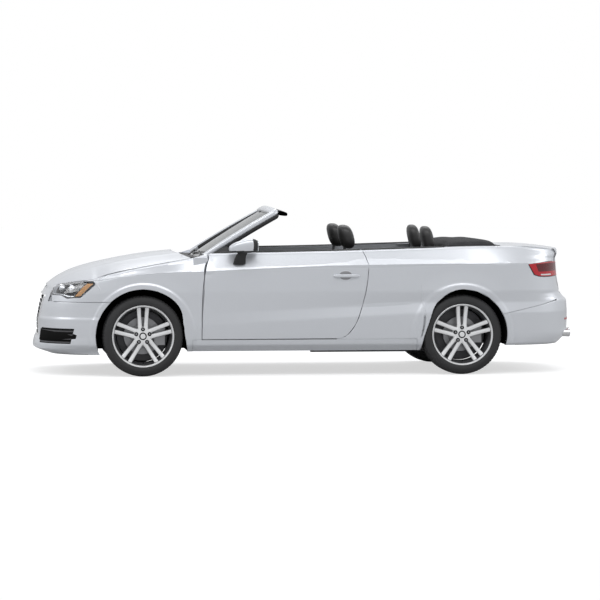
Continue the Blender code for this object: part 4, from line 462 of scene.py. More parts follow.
@dataclass(frozen=True)
class Finish:
    """A surface finish: colour, shine and a fine pattern in relief."""

    name: str
    slot: str
    colour: tuple[float, float, float]
    metallic: float = 0.0
    roughness: float = 0.5
    coat: float = 0.0
    pattern: Pattern = Pattern.PLAIN
    cell: float = 0.001
    relief: float = 0.0
    mottle: float = 0.0
    clear: float = 0.0
    gleam: float = 0.5

    def material(self) -> bpy.types.Material:
        """Build the material on first use.

        Formula: the pattern's height darkens the colour by the mottle share, roughens the shine
        by the same share, and drives a bump of the relief's depth.

        Returns:
            The material.
        """
        found = bpy.data.materials.get(f"look_{self.name}")
        if found is not None:
            return found
        material = bpy.data.materials.new(f"look_{self.name}")
        material.use_nodes = True
        nodes, links = material.node_tree.nodes, material.node_tree.links
        shader = nodes["Principled BSDF"]
        shader.inputs["Base Color"].default_value = (*self.colour, 1.0)
        shader.inputs["Metallic"].default_value = self.metallic
        shader.inputs["Roughness"].default_value = self.roughness
        shader.inputs["Coat Weight"].default_value = self.coat
        shader.inputs["Coat Roughness"].default_value = 0.03
        shader.inputs["Transmission Weight"].default_value = self.clear
        shader.inputs["Specular IOR Level"].default_value = self.gleam
        if self.pattern is not Pattern.PLAIN:
            place = nodes.new("ShaderNodeTexCoord")
            group = nodes.new("ShaderNodeGroup")
            group.node_tree = pattern_group(self.pattern)
            group.inputs["Scale"].default_value = 1 / self.cell
            links.new(place.outputs["Object"], group.inputs["Place"])
            tone = nodes.new("ShaderNodeMapRange")
            tone.inputs["To Min"].default_value = 1 - self.mottle
            tone.inputs["To Max"].default_value = 1 + self.mottle
            links.new(group.outputs["Height"], tone.inputs["Value"])
            tint = nodes.new("ShaderNodeVectorMath")
            tint.operation = "SCALE"
            tint.inputs[0].default_value = self.colour
            links.new(tone.outputs["Result"], tint.inputs["Scale"])
            links.new(tint.outputs["Vector"], shader.inputs["Base Color"])
            rough = nodes.new("ShaderNodeMath")
            rough.operation = "MULTIPLY"
            rough.inputs[1].default_value = self.roughness
            links.new(tone.outputs["Result"], rough.inputs[0])
            links.new(rough.outputs["Value"], shader.inputs["Roughness"])
            bump = nodes.new("ShaderNodeBump")
            bump.inputs["Distance"].default_value = self.relief
            links.new(group.outputs["Height"], bump.inputs["Height"])
            links.new(bump.outputs["Normal"], shader.inputs["Normal"])
        return material


PAINT = Finish("paint", "silver_paint", (0.66, 0.68, 0.715), 0.55, 0.36, 0.55, Pattern.FLAKE, 0.0012,
               0.00001, 0.03)
BLACK = Finish("black_trim", "black_plastic", (0.018, 0.018, 0.019), 0.0, 0.55, 0.0, Pattern.GRAIN,
               0.0015, 0.00015, 0.15)
GLOSS = Finish("black_gloss", "black_plastic", (0.010, 0.010, 0.011), 0.0, 0.16, 0.6, Pattern.GRAIN,
               0.02, 0.00001, 0.04)
# Near-black and almost without shine: the real black of the arch liners and valve stems, and painted
# shade standing for the depth of the grille, the intake, the bolt holes, the hub's bore and the exhaust
# pipe.
BLACK_AND_PAINTED_SHADE = Finish("cavity", "black_plastic", (0.008, 0.008, 0.008), 0.0, 0.95, 0.0, Pattern.GRAIN,
                0.004, 0.0003, 0.2, gleam=0.05)
RUBBER = Finish("rubber", "rubber", (0.021, 0.021, 0.022), 0.0, 0.68, 0.0, Pattern.GRAIN, 0.002,
                0.00015, 0.18)
ALLOY = Finish("alloy", "alloy", (0.84, 0.845, 0.85), 0.40, 0.34, 0.5, Pattern.FLAKE, 0.001,
               0.00001, 0.03)
STEEL = Finish("steel", "steel", (0.34, 0.34, 0.35), 1.0, 0.42, 0.0, Pattern.GRAIN, 0.003, 0.00008,
               0.12)
DARK_METAL = Finish("dark_metal", "steel", (0.10, 0.10, 0.105), 0.8, 0.55, 0.0, Pattern.GRAIN, 0.004,
                    0.0002, 0.2)
BRIGHT = Finish("bright", "alloy", (0.86, 0.865, 0.87), 1.0, 0.12, 0.0, Pattern.GRAIN, 0.01, 0.00001,
                0.02)
LEATHER = Finish("leather", "leather", (0.030, 0.029, 0.029), 0.0, 0.52, 0.1, Pattern.HIDE, 0.0035,
                 0.0004, 0.15)
CLOTH = Finish("roof_cloth", "fabric", (0.022, 0.022, 0.024), 0.0, 0.88, 0.0, Pattern.WEAVE, 0.004,
               0.0003, 0.2)
CARPET = Finish("carpet", "fabric", (0.028, 0.028, 0.030), 0.0, 0.95, 0.0, Pattern.GRAIN, 0.003,
                0.0015, 0.35)
GLASS = Finish("glass", "glass", (0.26, 0.29, 0.27), 0.0, 0.0, clear=1.0)
LENS = Finish("lamp_clear", "lamp_clear", (0.97, 0.98, 1.0), 0.0, 0.0, clear=1.0)
AMBER = Finish("amber", "lamp_clear", (0.85, 0.40, 0.10), 0.0, 0.20, 0.8, Pattern.WEAVE, 0.010,
               0.0006, 0.06)
RED = Finish("lamp_red", "lamp_red", (0.42, 0.006, 0.014), 0.0, 0.25, 0.3, Pattern.WEAVE, 0.012,
             0.0002, 0.12)
DEEP_RED = Finish("lamp_deep_red", "lamp_red", (0.10, 0.003, 0.007), 0.0, 0.25, 0.3, Pattern.WEAVE,
                  0.012, 0.0002, 0.12)
MIRROR = Finish("mirror_glass", "glass", (0.75, 0.78, 0.80), 1.0, 0.03)
PLATE = Finish("blank_plate", "black_plastic", (0.72, 0.72, 0.71), 0.0, 0.42, 0.2, Pattern.GRAIN,
               0.004, 0.00003, 0.04)


@dataclass
class Piece:
    """A mesh under construction: points, faces and, per face, which finish it takes."""

    name: str
    finishes: tuple[Finish, ...]
    body: str = "body"
    merge: float = 2e-5
    shortest: float = 1e-6
    bevel_degrees: float = 40.0
    points: list[Array] = field(default_factory=list)
    faces: list[Array] = field(default_factory=list)
    looks: list[Array] = field(default_factory=list)

    def add(self, points: Array, faces: Array, look: int = 0) -> "Piece":
        """Add points and the four-cornered faces between them.

        Args:
            points: rows of three.
            faces: rows of four indices; a repeated index makes a triangle.
            look: index of the finish.

        Returns:
            The piece itself.
        """
        start = sum(len(block) for block in self.points)
        faces = np.asarray(faces, int)
        self.points.append(np.asarray(points, float).reshape(-1, 3))
        self.faces.append(faces + start)
        self.looks.append(np.full(len(faces), look))
        return self

    def grid(self, points: Array, look: int = 0, keep: Array | None = None,
             loop: tuple[bool, bool] = (False, False)) -> "Piece":
        """Add a grid of points as a sheet of faces.

        Args:
            points: array of rows, columns and three.
            look: index of the finish.
            keep: True for each cell that stays.
            loop: whether rows, and whether columns, close on themselves.

        Returns:
            The piece itself.
        """
        rows, columns = points.shape[:2]
        index = np.arange(rows * columns).reshape(rows, columns)
        if loop[0]:
            index = np.concatenate([index, index[:1]], axis=0)
        if loop[1]:
            index = np.concatenate([index, index[:, :1]], axis=1)
        cells = np.stack([index[:-1, :-1], index[:-1, 1:], index[1:, 1:], index[1:, :-1]], axis=-1)
        chosen = cells.reshape(-1, 4) if keep is None else cells[keep]
        return self.add(points, chosen, look)

    def rings(self, points: Array, look: int = 0, keep: Array | None = None) -> "Piece":
        """Add a grid whose rows are closed rings."""
        return self.grid(points, look, keep, (False, True))

    def box(self, low: tuple, high: tuple, look: int = 0) -> "Piece":
        """Add a box between two corners."""
        pick = np.array([[a, b, c] for a in (0, 1) for b in (0, 1) for c in (0, 1)])
        points = np.where(pick == 0, low, high)
        faces = [(0, 1, 3, 2), (4, 6, 7, 5), (0, 4, 5, 1), (2, 3, 7, 6), (0, 2, 6, 4), (1, 5, 7, 3)]
        return self.add(points, faces, look)

    def tube(self, path: Array, radius: Array, sides: int = 16, look: int = 0,
             closed: bool = False) -> "Piece":
        """Add a round bar along a path.

        Formula: a ring round each point, in the plane across the path, whose first direction is
        the part of a fixed direction that lies across the path.

        Args:
            path: points, one row each.
            radius: one radius, or one per point.
            sides: points in each ring.
            look: index of the finish.
            closed: whether the path closes on itself.

        Returns:
            The piece itself.
        """
        path = np.asarray(path, float)
        ahead = np.roll(path, -1, axis=0) - np.roll(path, 1, axis=0)
        if not closed:
            ahead = np.gradient(path, axis=0)
        ahead = ahead / np.linalg.norm(ahead, axis=1, keepdims=True)
        spread = np.ptp(path, axis=0)
        fixed = np.eye(3)[int(np.argmin(spread))]
        first = fixed - ahead * (ahead @ fixed)[:, None]
        first = first / np.maximum(np.linalg.norm(first, axis=1, keepdims=True), 1e-9)
        second = np.cross(ahead, first)
        angle = full_turn(sides)
        reach = np.broadcast_to(np.asarray(radius, float), len(path))[:, None, None]
        ring = (np.cos(angle)[None, :, None] * first[:, None]
                + np.sin(angle)[None, :, None] * second[:, None]) * reach
        rings = path[:, None] + ring
        return self.grid(rings if closed else capped(rings), look, loop=(closed, True))

    def lathe(self, profile: Array, centre: tuple, axis: int = 0, sides: int = 96,
              look: int = 0) -> "Piece":
        """Add a turned surface.

        Formula: each row of the profile is a distance along the axis and a radius round it.

        Args:
            profile: rows of distance and radius.
            centre: where the axis passes.
            axis: 0, 1 or 2 for X, Y or Z.
            sides: points round the axis.
            look: index of the finish.

        Returns:
            The piece itself.
        """
        profile = np.asarray(profile, float)
        angle = full_turn(sides)
        points = np.zeros((len(profile), sides, 3))
        points[..., axis] = profile[:, :1]
        points[..., (axis + 1) % 3] = profile[:, 1:] * np.cos(angle)
        points[..., (axis + 2) % 3] = profile[:, 1:] * np.sin(angle)
        return self.rings(points + np.asarray(centre, float), look)

    def build(self, wall: float = 0.0, edge: float = 0.0, smooth: float = 35.0,
              side: Side = Side.LEFT, outward: tuple | None = None) -> bpy.types.Object:
        """Make the object: merge doubles, turn the faces outwards and add its wall and rounds.

        Args:
            wall: thickness given inwards to an open sheet.
            edge: width of the rounds on its sharp edges.
            smooth: angle in degrees up to which edges shade smooth.
            side: RIGHT mirrors the piece across the centre plane.
            outward: a point inside the car that an open sheet faces away from.

        Returns:
            The object, riding its body.
        """
        points = np.concatenate(self.points) * [side.value, 1.0, 1.0]
        mesh = bpy.data.meshes.new(self.name)
        mesh.from_pydata(points.tolist(), [], [])
        work = bmesh.new()
        work.from_mesh(mesh)
        work.verts.ensure_lookup_table()
        for face, look in zip(np.concatenate(self.faces), np.concatenate(self.looks)):
            corners = list(dict.fromkeys(face.tolist()))
            if len(corners) > 2:
                made = work.faces.new([work.verts[index] for index in corners])
                made.material_index = int(look)
        bmesh.ops.remove_doubles(work, verts=work.verts, dist=self.merge)
        bmesh.ops.dissolve_degenerate(work, edges=work.edges, dist=self.shortest)
        loose = [vert for vert in work.verts if not vert.link_faces]
        bmesh.ops.delete(work, geom=loose, context="VERTS")
        bmesh.ops.recalc_face_normals(work, faces=work.faces)
        if outward is not None:
            heart = Vector(outward)
            facing = sum((face.calc_center_median() - heart).normalized().dot(face.normal)
                         * face.calc_area() for face in work.faces)
            if facing < 0:
                bmesh.ops.reverse_faces(work, faces=work.faces)
        work.to_mesh(mesh)
        work.free()
        mesh.shade_smooth()
        mesh.set_sharp_from_angle(angle=math.radians(smooth))
        for finish in self.finishes:
            mesh.materials.append(finish.material())
        thing = bpy.data.objects.new(self.name, mesh)
        bpy.context.scene.collection.objects.link(thing)
        if wall:
            shell = thing.modifiers.new("wall", "SOLIDIFY")
            shell.thickness, shell.offset = wall, -1.0
        if edge:
            bevel = thing.modifiers.new("edge", "BEVEL")
            bevel.width, bevel.segments = edge, 2
            bevel.angle_limit = math.radians(self.bevel_degrees)
        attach(thing, self.body)
        return thing


def pair(make: Callable[[Side, str], object], name: str) -> None:
    """Build a piece for both sides, from a function of the side and the piece's name."""
    for side in Side:
        make(side, f"{name}_{side.word}")


def crest(top: Array, width: Array, radius: Array, steps: int = 5) -> Array:
    """Rows that roll a panel over its top edge and run inwards.

    Formula: a quarter turn of the given radius from the last row, then a level run across the
    car, with a last short drop.

    Args:
        top: last row of the panel, one radius below the edge.
        width: how far each column runs inwards.
        radius: radius of the roll at each column.
        steps: rows in the roll.

    Returns:
        The added rows.
    """
    least_flat, last_drop = 0.0005, 0.008
    angle = np.linspace(0.0, math.pi / 2, steps + 1)[1:, None]
    shift = np.stack([-radius * (1 - np.cos(angle)), 0 * radius * angle, radius * np.sin(angle)], -1)
    rolled = top + shift
    share = np.linspace(0.0, 1.0, steps + 1)[1:, None]
    flat = np.maximum(width - radius, least_flat) * share
    level = rolled[-1] - np.stack([flat, 0 * flat, 0 * flat], -1)
    return np.concatenate([rolled, level, level[-1:] - [0.0, 0.0, last_drop]])


@dataclass(frozen=True)
class ShutLines:
    """The lines in side view where the body panels meet."""

    door_low_y: float = -0.873
    door_top_y: float = -0.815
    door_top_z: float = 0.955
    bumper_z: float = 0.600
    sill_ends: tuple[float, float] = (-0.950, 0.870)
    lamp_inner_x: float = 0.520
    door_rear: Table = (
        (0.104, 0.222), (0.134, 0.234), (0.170, 0.310), (0.194, 0.431), (0.208, 0.541),
        (0.215, 0.657), (0.200, 0.720), (0.189, 0.750))
    rear_split: Table = (
        (0.640, 0.340), (0.733, 0.370), (0.930, 0.440), (0.965, 0.485), (1.050, 0.490))
    headlamp: Table = (
        (-0.958, 0.515), (-0.955, 0.483), (-0.905, 0.482), (-0.885, 0.464), (-0.835, 0.471),
        (-0.775, 0.561), (-0.790, 0.569), (-0.850, 0.566), (-0.912, 0.548))
    tail_lamp: Table = (
        (0.812, 0.662), (0.835, 0.600), (0.862, 0.585), (0.975, 0.590), (0.975, 0.672),
        (0.900, 0.676))

    def door_lead(self, z: Array) -> Array:
        """Place of the door's leading edge at each height."""
        rise = np.clip((np.asarray(z) - SHAPE.sill_top) / (self.door_top_z - SHAPE.sill_top), 0, 1)
        return self.door_low_y + (self.door_top_y - self.door_low_y) * rise ** 4

    def lead_line(self, rows: int, top: float, gap: float = 0.0) -> Array:
        """Leading edge as points in side view, from the sill up to a height."""
        z = np.linspace(SHAPE.sill_top + SHAPE.shut_gap, top, rows)
        return np.stack([self.door_lead(z) - gap, z], axis=-1)

    def rear_line(self, rows: int, below: float, gap: float = 0.0) -> Array:
        """Trailing edge of the door in side view, up to a distance below the belt."""
        line = rounded(SHAPE.metres(self.door_rear), 80, 2)
        slope = np.gradient(line, axis=0)
        slope = slope / np.linalg.norm(slope, axis=1, keepdims=True)
        line = line + np.stack([slope[:, 1], -slope[:, 0]], axis=-1) * gap
        line = line[line[:, 1] < SHAPE.edge(line[:, 0]) - below]
        end = line[-1] + (line[-1] - line[-2]) * 0.01
        end[1] = float(SHAPE.edge(end[0]) - below)
        return along(np.concatenate([line, end[None]]), rows)

    def arch(self, end: End, start: float, stop: float, count: int) -> Array:
        """Wheel opening between two heights, over its top, towards the rear."""
        radius = SHAPE.arch_radii[0 if end is End.FRONT else 1]
        first = math.pi - math.asin((start - SHAPE.tyre_radius) / radius)
        last = math.asin((stop - SHAPE.tyre_radius) / radius)
        angle = np.linspace(first, last, count)
        return np.stack([SHAPE.axle(end) + radius * np.cos(angle),
                         SHAPE.tyre_radius + radius * np.sin(angle)], axis=-1)


LINES = ShutLines()
HEART = (0.0, 0.1, 0.45)


def on_skin(end: End, flat: Array) -> Array:
    """Turn points in side view, of places along the car and heights, into points of the skin."""
    y, z = flat[..., 0], flat[..., 1]
    return SHAPE.skin(end, SHAPE.turn(end, y, z), z)


@dataclass(frozen=True)
class Skins:
    """What all painted skins share: their thickness, edge rounds and seam."""

    wall: float = 0.0022
    edge: float = 0.0009
    seam: float = 0.0025
    half_seam: float = 0.0015

    def skin(self, name: str, points: Array, side: Side = Side.LEFT,
             body: str = "body") -> bpy.types.Object:
        """Build one painted sheet from a grid of points."""
        piece = Piece(name, (PAINT,), body).grid(points)
        return piece.build(self.wall, self.edge, side=side, outward=HEART)


@dataclass(frozen=True)
class BodyPanels(Skins):
    """Painted outer panels of one side: fender, door, quarter and sill."""

    roll: float = 0.014
    rows: int = 64
    corner_gap: float = 0.011
    door_crest: float = 0.034
    quarter_crest: float = 0.052
    corner_heights: tuple[float, float] = (0.785, 0.865)
    lead_tuck: float = 0.0042
    tuck_run: tuple[float, float] = (0.030, 0.075)
    tuck_heights: tuple[float, float] = (0.780, 0.850)
    hinge: tuple[float, float] = (0.838, -0.821)
    lead_reach: Table = ((0.292, 0.0580), (0.470, 0.0605), (0.530, 0.0595), (0.620, 0.0568),
                         (0.800, 0.0562), (0.860, 0.0530), (1.020, 0.0530))

    def fender(self, side: Side, name: str) -> bpy.types.Object:
        """Front fender, from the headlamp to the door, over the wheel."""
        roll, rows = self.roll, self.rows
        lamp = SHAPE.metres(LINES.headlamp)
        under = np.array([(-2.072, 0.6525), lamp[2], lamp[3], lamp[4]]) - [0.0, 0.0035]
        behind = np.array([lamp[4], lamp[5], lamp[6]]) + [0.004, -0.001]
        first = along(under, 24)
        second = along(np.concatenate([first[-1:], behind[1:]]), 26)[1:]
        stop = LINES.door_lead(LINES.door_top_z) - SHAPE.shut_gap - self.corner_gap
        belt_y = np.linspace(second[-1, 0], stop, 110)[1:]
        belt = np.stack([belt_y, SHAPE.edge(belt_y) - roll], axis=-1)
        blend = smooth_step(0.0, 0.06, belt_y - second[-1, 0])[:, None]
        belt = belt * [1, 0] + (belt * blend + second[-1] * (1 - blend)) * [0, 1]
        top = np.concatenate([first, second, belt])
        split = LINES.bumper_z + self.half_seam
        arch = LINES.arch(End.FRONT, split, SHAPE.sill_bottom, 83)
        sill = SHAPE.sill_top + self.seam
        tail = np.array([arch[-1], (LINES.sill_ends[0] - self.seam, SHAPE.sill_bottom),
                         (LINES.sill_ends[0] - self.seam, sill),
                         (LINES.door_low_y - SHAPE.shut_gap, sill)])
        front = along([(-2.072, split), (-1.846, split)], 24)
        back = along([(-1.846, split), arch[0]], 26)[1:]
        bottom = np.concatenate([front, back, arch[1:], along(tail, 28)[1:]])
        right = LINES.lead_line(rows, float(belt[-1, 1]), SHAPE.shut_gap)
        right[:, 0] -= self.corner_gap * smooth_step(*self.corner_heights, right[:, 1])
        right[0] = bottom[-1]
        right[-1] = top[-1]
        left = along([bottom[0], top[0]], rows)
        grid = on_skin(End.FRONT, coons(bottom, top, left, right))
        painted = smooth_step(0.0, 0.05, top[:, 0] - second[-1, 0])
        radius = 0.003 + (roll - 0.003) * painted
        open_end = 1 - smooth_step(stop - 0.080, stop - 0.045, top[:, 0])
        width = 0.008 + 0.022 * painted * open_end
        return self.skin(name, np.concatenate([grid, crest(grid[-1], width, radius)]), side)

    def door(self, side: Side, name: str) -> bpy.types.Object:
        """Door skin between its curved shut lines."""
        roll, rows = self.roll, self.rows
        right = LINES.rear_line(rows, roll)
        left = LINES.lead_line(rows, float(SHAPE.edge(LINES.door_top_y) - roll))
        bottom = along([left[0], right[0]], 150)
        belt_y = np.linspace(left[-1, 0], right[-1, 0], 150)
        top = np.stack([belt_y, SHAPE.edge(belt_y) - roll], axis=-1)
        grid = on_skin(End.FRONT, coons(bottom, top, left, right))
        behind = grid[..., 1] - LINES.door_lead(grid[..., 2])
        high = smooth_step(*self.tuck_heights, grid[..., 2])
        grid[..., 0] -= self.lead_tuck * high * (1 - smooth_step(*self.tuck_run, behind))
        away = grid[..., :2] - np.array(self.hinge)
        pull = 1 - np.minimum(1.0, eased(self.lead_reach, grid[..., 2]) / np.linalg.norm(away, axis=-1))
        grid[..., :2] -= away * np.where(away[..., 1] < 0, pull, 0.0)[..., None]
        size = np.ones(150)
        rows_up = crest(grid[-1], self.door_crest * size, roll * size)
        return self.skin(name, np.concatenate([grid, rows_up]), side, f"door_{side.word}")

    def quarter(self, side: Side, name: str) -> bpy.types.Object:
        """Quarter panel, from the door round the tail's corner to the lid, with its deck."""
        roll, rows = self.roll, self.rows
        left = LINES.rear_line(rows, roll, SHAPE.shut_gap)
        sill = SHAPE.sill_top + self.seam
        split = rounded(SHAPE.metres(LINES.rear_split), 120) + [0.0, self.half_seam]
        arch = LINES.arch(End.REAR, SHAPE.sill_bottom, 0.490, 91)
        back = LINES.sill_ends[1] + self.seam
        left[0] = (left[0, 0], sill)
        start = along([left[0], (back, sill), (back, SHAPE.sill_bottom), arch[0]], 60)
        run = split[split[:, 0] > arch[-1, 0] + 0.01]
        run = np.concatenate([arch[-1:], run])
        turn_low = float(SHAPE.turn_at(End.REAR, LINES.lamp_inner_x + 0.004, 0.665))
        turn_high = float(SHAPE.turn_at(End.REAR, LINES.lamp_inner_x + 0.090, 1.0))
        low = np.concatenate([start, arch[1:], run[1:]])
        low_turn = SHAPE.turn(End.REAR, low[:, 0], low[:, 1])
        low = np.stack([low_turn, low[:, 1]], axis=-1)
        low = low[low[:, 0] < turn_low - 0.01]
        last = np.array([turn_low, 0.6625])
        keyed = len(start) + len(arch) - 1
        bottom = np.concatenate([low[:keyed], along(np.concatenate([low[keyed - 1:], last[None]]),
                                                   101)[1:]])
        ys = [left[-1, 0], 0.86, SHAPE.axle(End.REAR) + 0.30, 2.06]
        belt_y = np.concatenate([np.linspace(ys[0], ys[1], 60), np.linspace(ys[1], ys[2], 91)[1:],
                                 np.linspace(ys[2], ys[3], 71)[1:]])
        belt_z = SHAPE.edge(belt_y) - roll
        belt = np.stack([SHAPE.turn(End.REAR, belt_y, belt_z), belt_z], axis=-1)
        around = along([belt[-1], (turn_high, float(SHAPE.edge(2.09) - roll))], 31)[1:]
        top = np.concatenate([belt, around])
        left_turn = np.stack([SHAPE.turn(End.REAR, left[:, 0], left[:, 1]), left[:, 1]], axis=-1)
        right = along([bottom[-1], top[-1]], rows)
        flat = coons(bottom, top, left_turn, right)
        grid = SHAPE.skin(End.REAR, flat[..., 0], flat[..., 1])
        edge = grid[-1]
        inner = eased(((0.0, 0.0), (0.9, 0.0), (1.125, 1.0), (3.0, 1.0)), edge[:, 1])
        deck = eased(((0.0, 0.690), (1.125, 0.690), (1.593, 0.6055), (3.0, 0.6055)), edge[:, 1])
        width = (1 - inner) * self.quarter_crest + inner * (edge[:, 0] - deck)
        width = np.maximum(width, 0.006)
        radius = np.minimum(np.full(len(edge), roll), width)
        return self.skin(name, np.concatenate([grid, crest(edge, width, radius)]), side)

    def sill(self, side: Side, name: str) -> bpy.types.Object:
        """Sill skin under the door."""
        y = np.linspace(LINES.sill_ends[0], LINES.sill_ends[1], 180)[None, :]
        z = np.linspace(SHAPE.sill_bottom + 0.001, SHAPE.sill_top, 20)[:, None]
        grid = on_skin(End.FRONT, np.stack(np.broadcast_arrays(y, z), axis=-1))
        under = grid[:1] - np.array([0.030, 0.0, 0.001])
        over = grid[-1:] - np.array([0.020, 0.0, 0.0])
        return self.skin(name, np.concatenate([under, grid, over]), side)

    def build(self) -> None:
        """Make all side panels for both sides."""
        for make, word in ((self.fender, "fender_skin"), (self.door, "door_skin"),
                           (self.quarter, "quarter_skin"), (self.sill, "sill_skin")):
            pair(make, word)


@dataclass(frozen=True)
class Lattice:
    """Grid over one half of a bumper, with openings left where whole blocks are taken out.

    Columns are curves of the plan coordinate against height, rows are heights; each span between
    them has its own count of cells.
    """

    columns: tuple
    rows: tuple[float, ...]
    spans: tuple[int, ...]
    steps: tuple[int, ...]
    holes: tuple[tuple[int, int, int, int], ...]

    def build(self, end: End) -> tuple[Array, Array]:
        """Points of the half bumper and the cells that stay.

        Args:
            end: which end of the car it wraps.

        Returns:
            The grid of points and the array of kept cells.
        """
        z = np.concatenate([np.linspace(a, b, n, endpoint=False)
                            for a, b, n in zip(self.rows, self.rows[1:], self.steps)]
                           + [np.array(self.rows[-1:])])
        lines = [column(z) for column in self.columns]
        parts = [a + (b - a) * np.linspace(0, 1, n, endpoint=False)[:, None]
                 for a, b, n in zip(lines, lines[1:], self.spans)]
        turn = np.concatenate(parts + [lines[-1][None]]).T
        keep = np.ones((len(z) - 1, turn.shape[1] - 1), bool)
        across = np.concatenate([[0], np.cumsum(self.spans)])
        up = np.concatenate([[0], np.cumsum(self.steps)])
        for left, right, low, high in self.holes:
            keep[up[low]:up[high], across[left]:across[right]] = False
        return SHAPE.skin(end, turn, z[:, None]), keep


def both_halves(piece: Piece, points: Array, keep: Array | None = None, look: int = 0) -> Piece:
    """Add a grid of the left half and its mirror image."""
    piece.grid(points, look, keep)
    return piece.grid(points * [-1, 1, 1], look, keep)


@dataclass(frozen=True)
class Bumpers(Skins):
    """Front and rear bumper skins, the grille's surround and the lower intakes."""

    crease_step: float = 0.0045

    def front(self) -> None:
        """Front bumper with a wedge-shaped grille opening and two lower intakes."""
        end, radius = End.FRONT, SHAPE.arch_radii[0]
        at_x = lambda x: (lambda z: SHAPE.turn_at(end, x, z))
        arch = lambda z: SHAPE.turn(end, SHAPE.axle(end) - np.sqrt(
            radius ** 2 - (z - SHAPE.tyre_radius) ** 2), z)
        outer = lambda z: SHAPE.turn(end, -1.895 - 0.25 * (0.40 - z), z)
        grille = lambda z: SHAPE.turn_at(end, 0.300 + 0.085 * (z - 0.315) / 0.330, z)
        middle = lambda z: np.ones_like(z)
        lattice = Lattice(
            (arch, outer, at_x(0.524), at_x(0.455), grille, middle),
            (0.173, 0.262, 0.315, 0.385, 0.598, 0.645, 0.694), (30, 26, 12, 12, 34),
            (10, 6, 8, 24, 6, 6), ((1, 3, 1, 3), (4, 5, 2, 5), (0, 2, 4, 6)))
        points, keep = lattice.build(end)
        fold = smooth_step(0.462, 0.474, points[..., 2]) * self.crease_step
        points[..., :2] *= 1 - fold[..., None] * [1.0, 0.5]
        piece = Piece("front_bumper_skin", (PAINT,))
        both_halves(piece, points, keep).build(self.wall, self.edge, outward=HEART)
        recess = Piece("intake_slats", (DARK_METAL, BLACK_AND_PAINTED_SHADE))
        turn = np.linspace(0, 1, 40)[None, :]
        for low in np.arange(0.268, 0.380, 0.030):
            z = np.array([low, low, low + 0.012, low + 0.012])[:, None]
            start, stop = outer(z), SHAPE.turn_at(end, 0.455, z)
            slat = SHAPE.skin(end, start + (stop - start) * turn, z + 0 * turn)
            inset = np.array([0.003, -0.001, -0.001, 0.003])[:, None]
            slat[..., 1] += inset
            slat[..., 0] -= inset * 0.4
            both_halves(recess, slat)
        # Near-black back sheet behind the slats: black plastic, and painted shade standing for the
        # intake's depth.
        z = np.array([0.255, 0.392])[:, None]
        start, stop = outer(z) - 0.03, SHAPE.turn_at(end, 0.430, z)
        back = SHAPE.skin(end, start + (stop - start) * turn, z + 0 * turn)
        back[..., 1] += 0.0026
        back[..., 0] -= 0.0010
        both_halves(recess, back, look=1)
        recess.build(0.002, outward=HEART)

    def rear(self) -> None:
        """Rear bumper below the boot lid, from each wheel arch round the tail."""
        end, radius = End.REAR, SHAPE.arch_radii[1]
        split = SHAPE.metres(LINES.rear_split)
        arch = lambda z: SHAPE.turn(end, SHAPE.axle(end) + np.sqrt(
            np.maximum(radius ** 2 - (z - SHAPE.tyre_radius) ** 2, 1e-4)), z)
        column = np.linspace(0, 1, 111)
        rows = 60
        low = 0.236
        grid = []
        for share in np.linspace(0, 1, rows):
            z = np.full_like(column, low + (0.4905 - low) * share)
            for _ in range(3):
                turn = arch(z) + (1 - arch(z)) * column
                y = SHAPE.skin(end, turn, z)[:, 1]
                top = np.interp(y, split[:, 0], split[:, 1]) - self.half_seam
                top = np.minimum(top, 0.6545)
                z = low + (top - low) * share
            grid.append(SHAPE.skin(end, arch(z) + (1 - arch(z)) * column, z))
        piece = both_halves(Piece("rear_bumper_skin", (PAINT,)), np.array(grid))
        piece.build(self.wall, self.edge, outward=HEART)

    def build(self) -> None:
        """Make both bumpers."""
        self.front()
        self.rear()


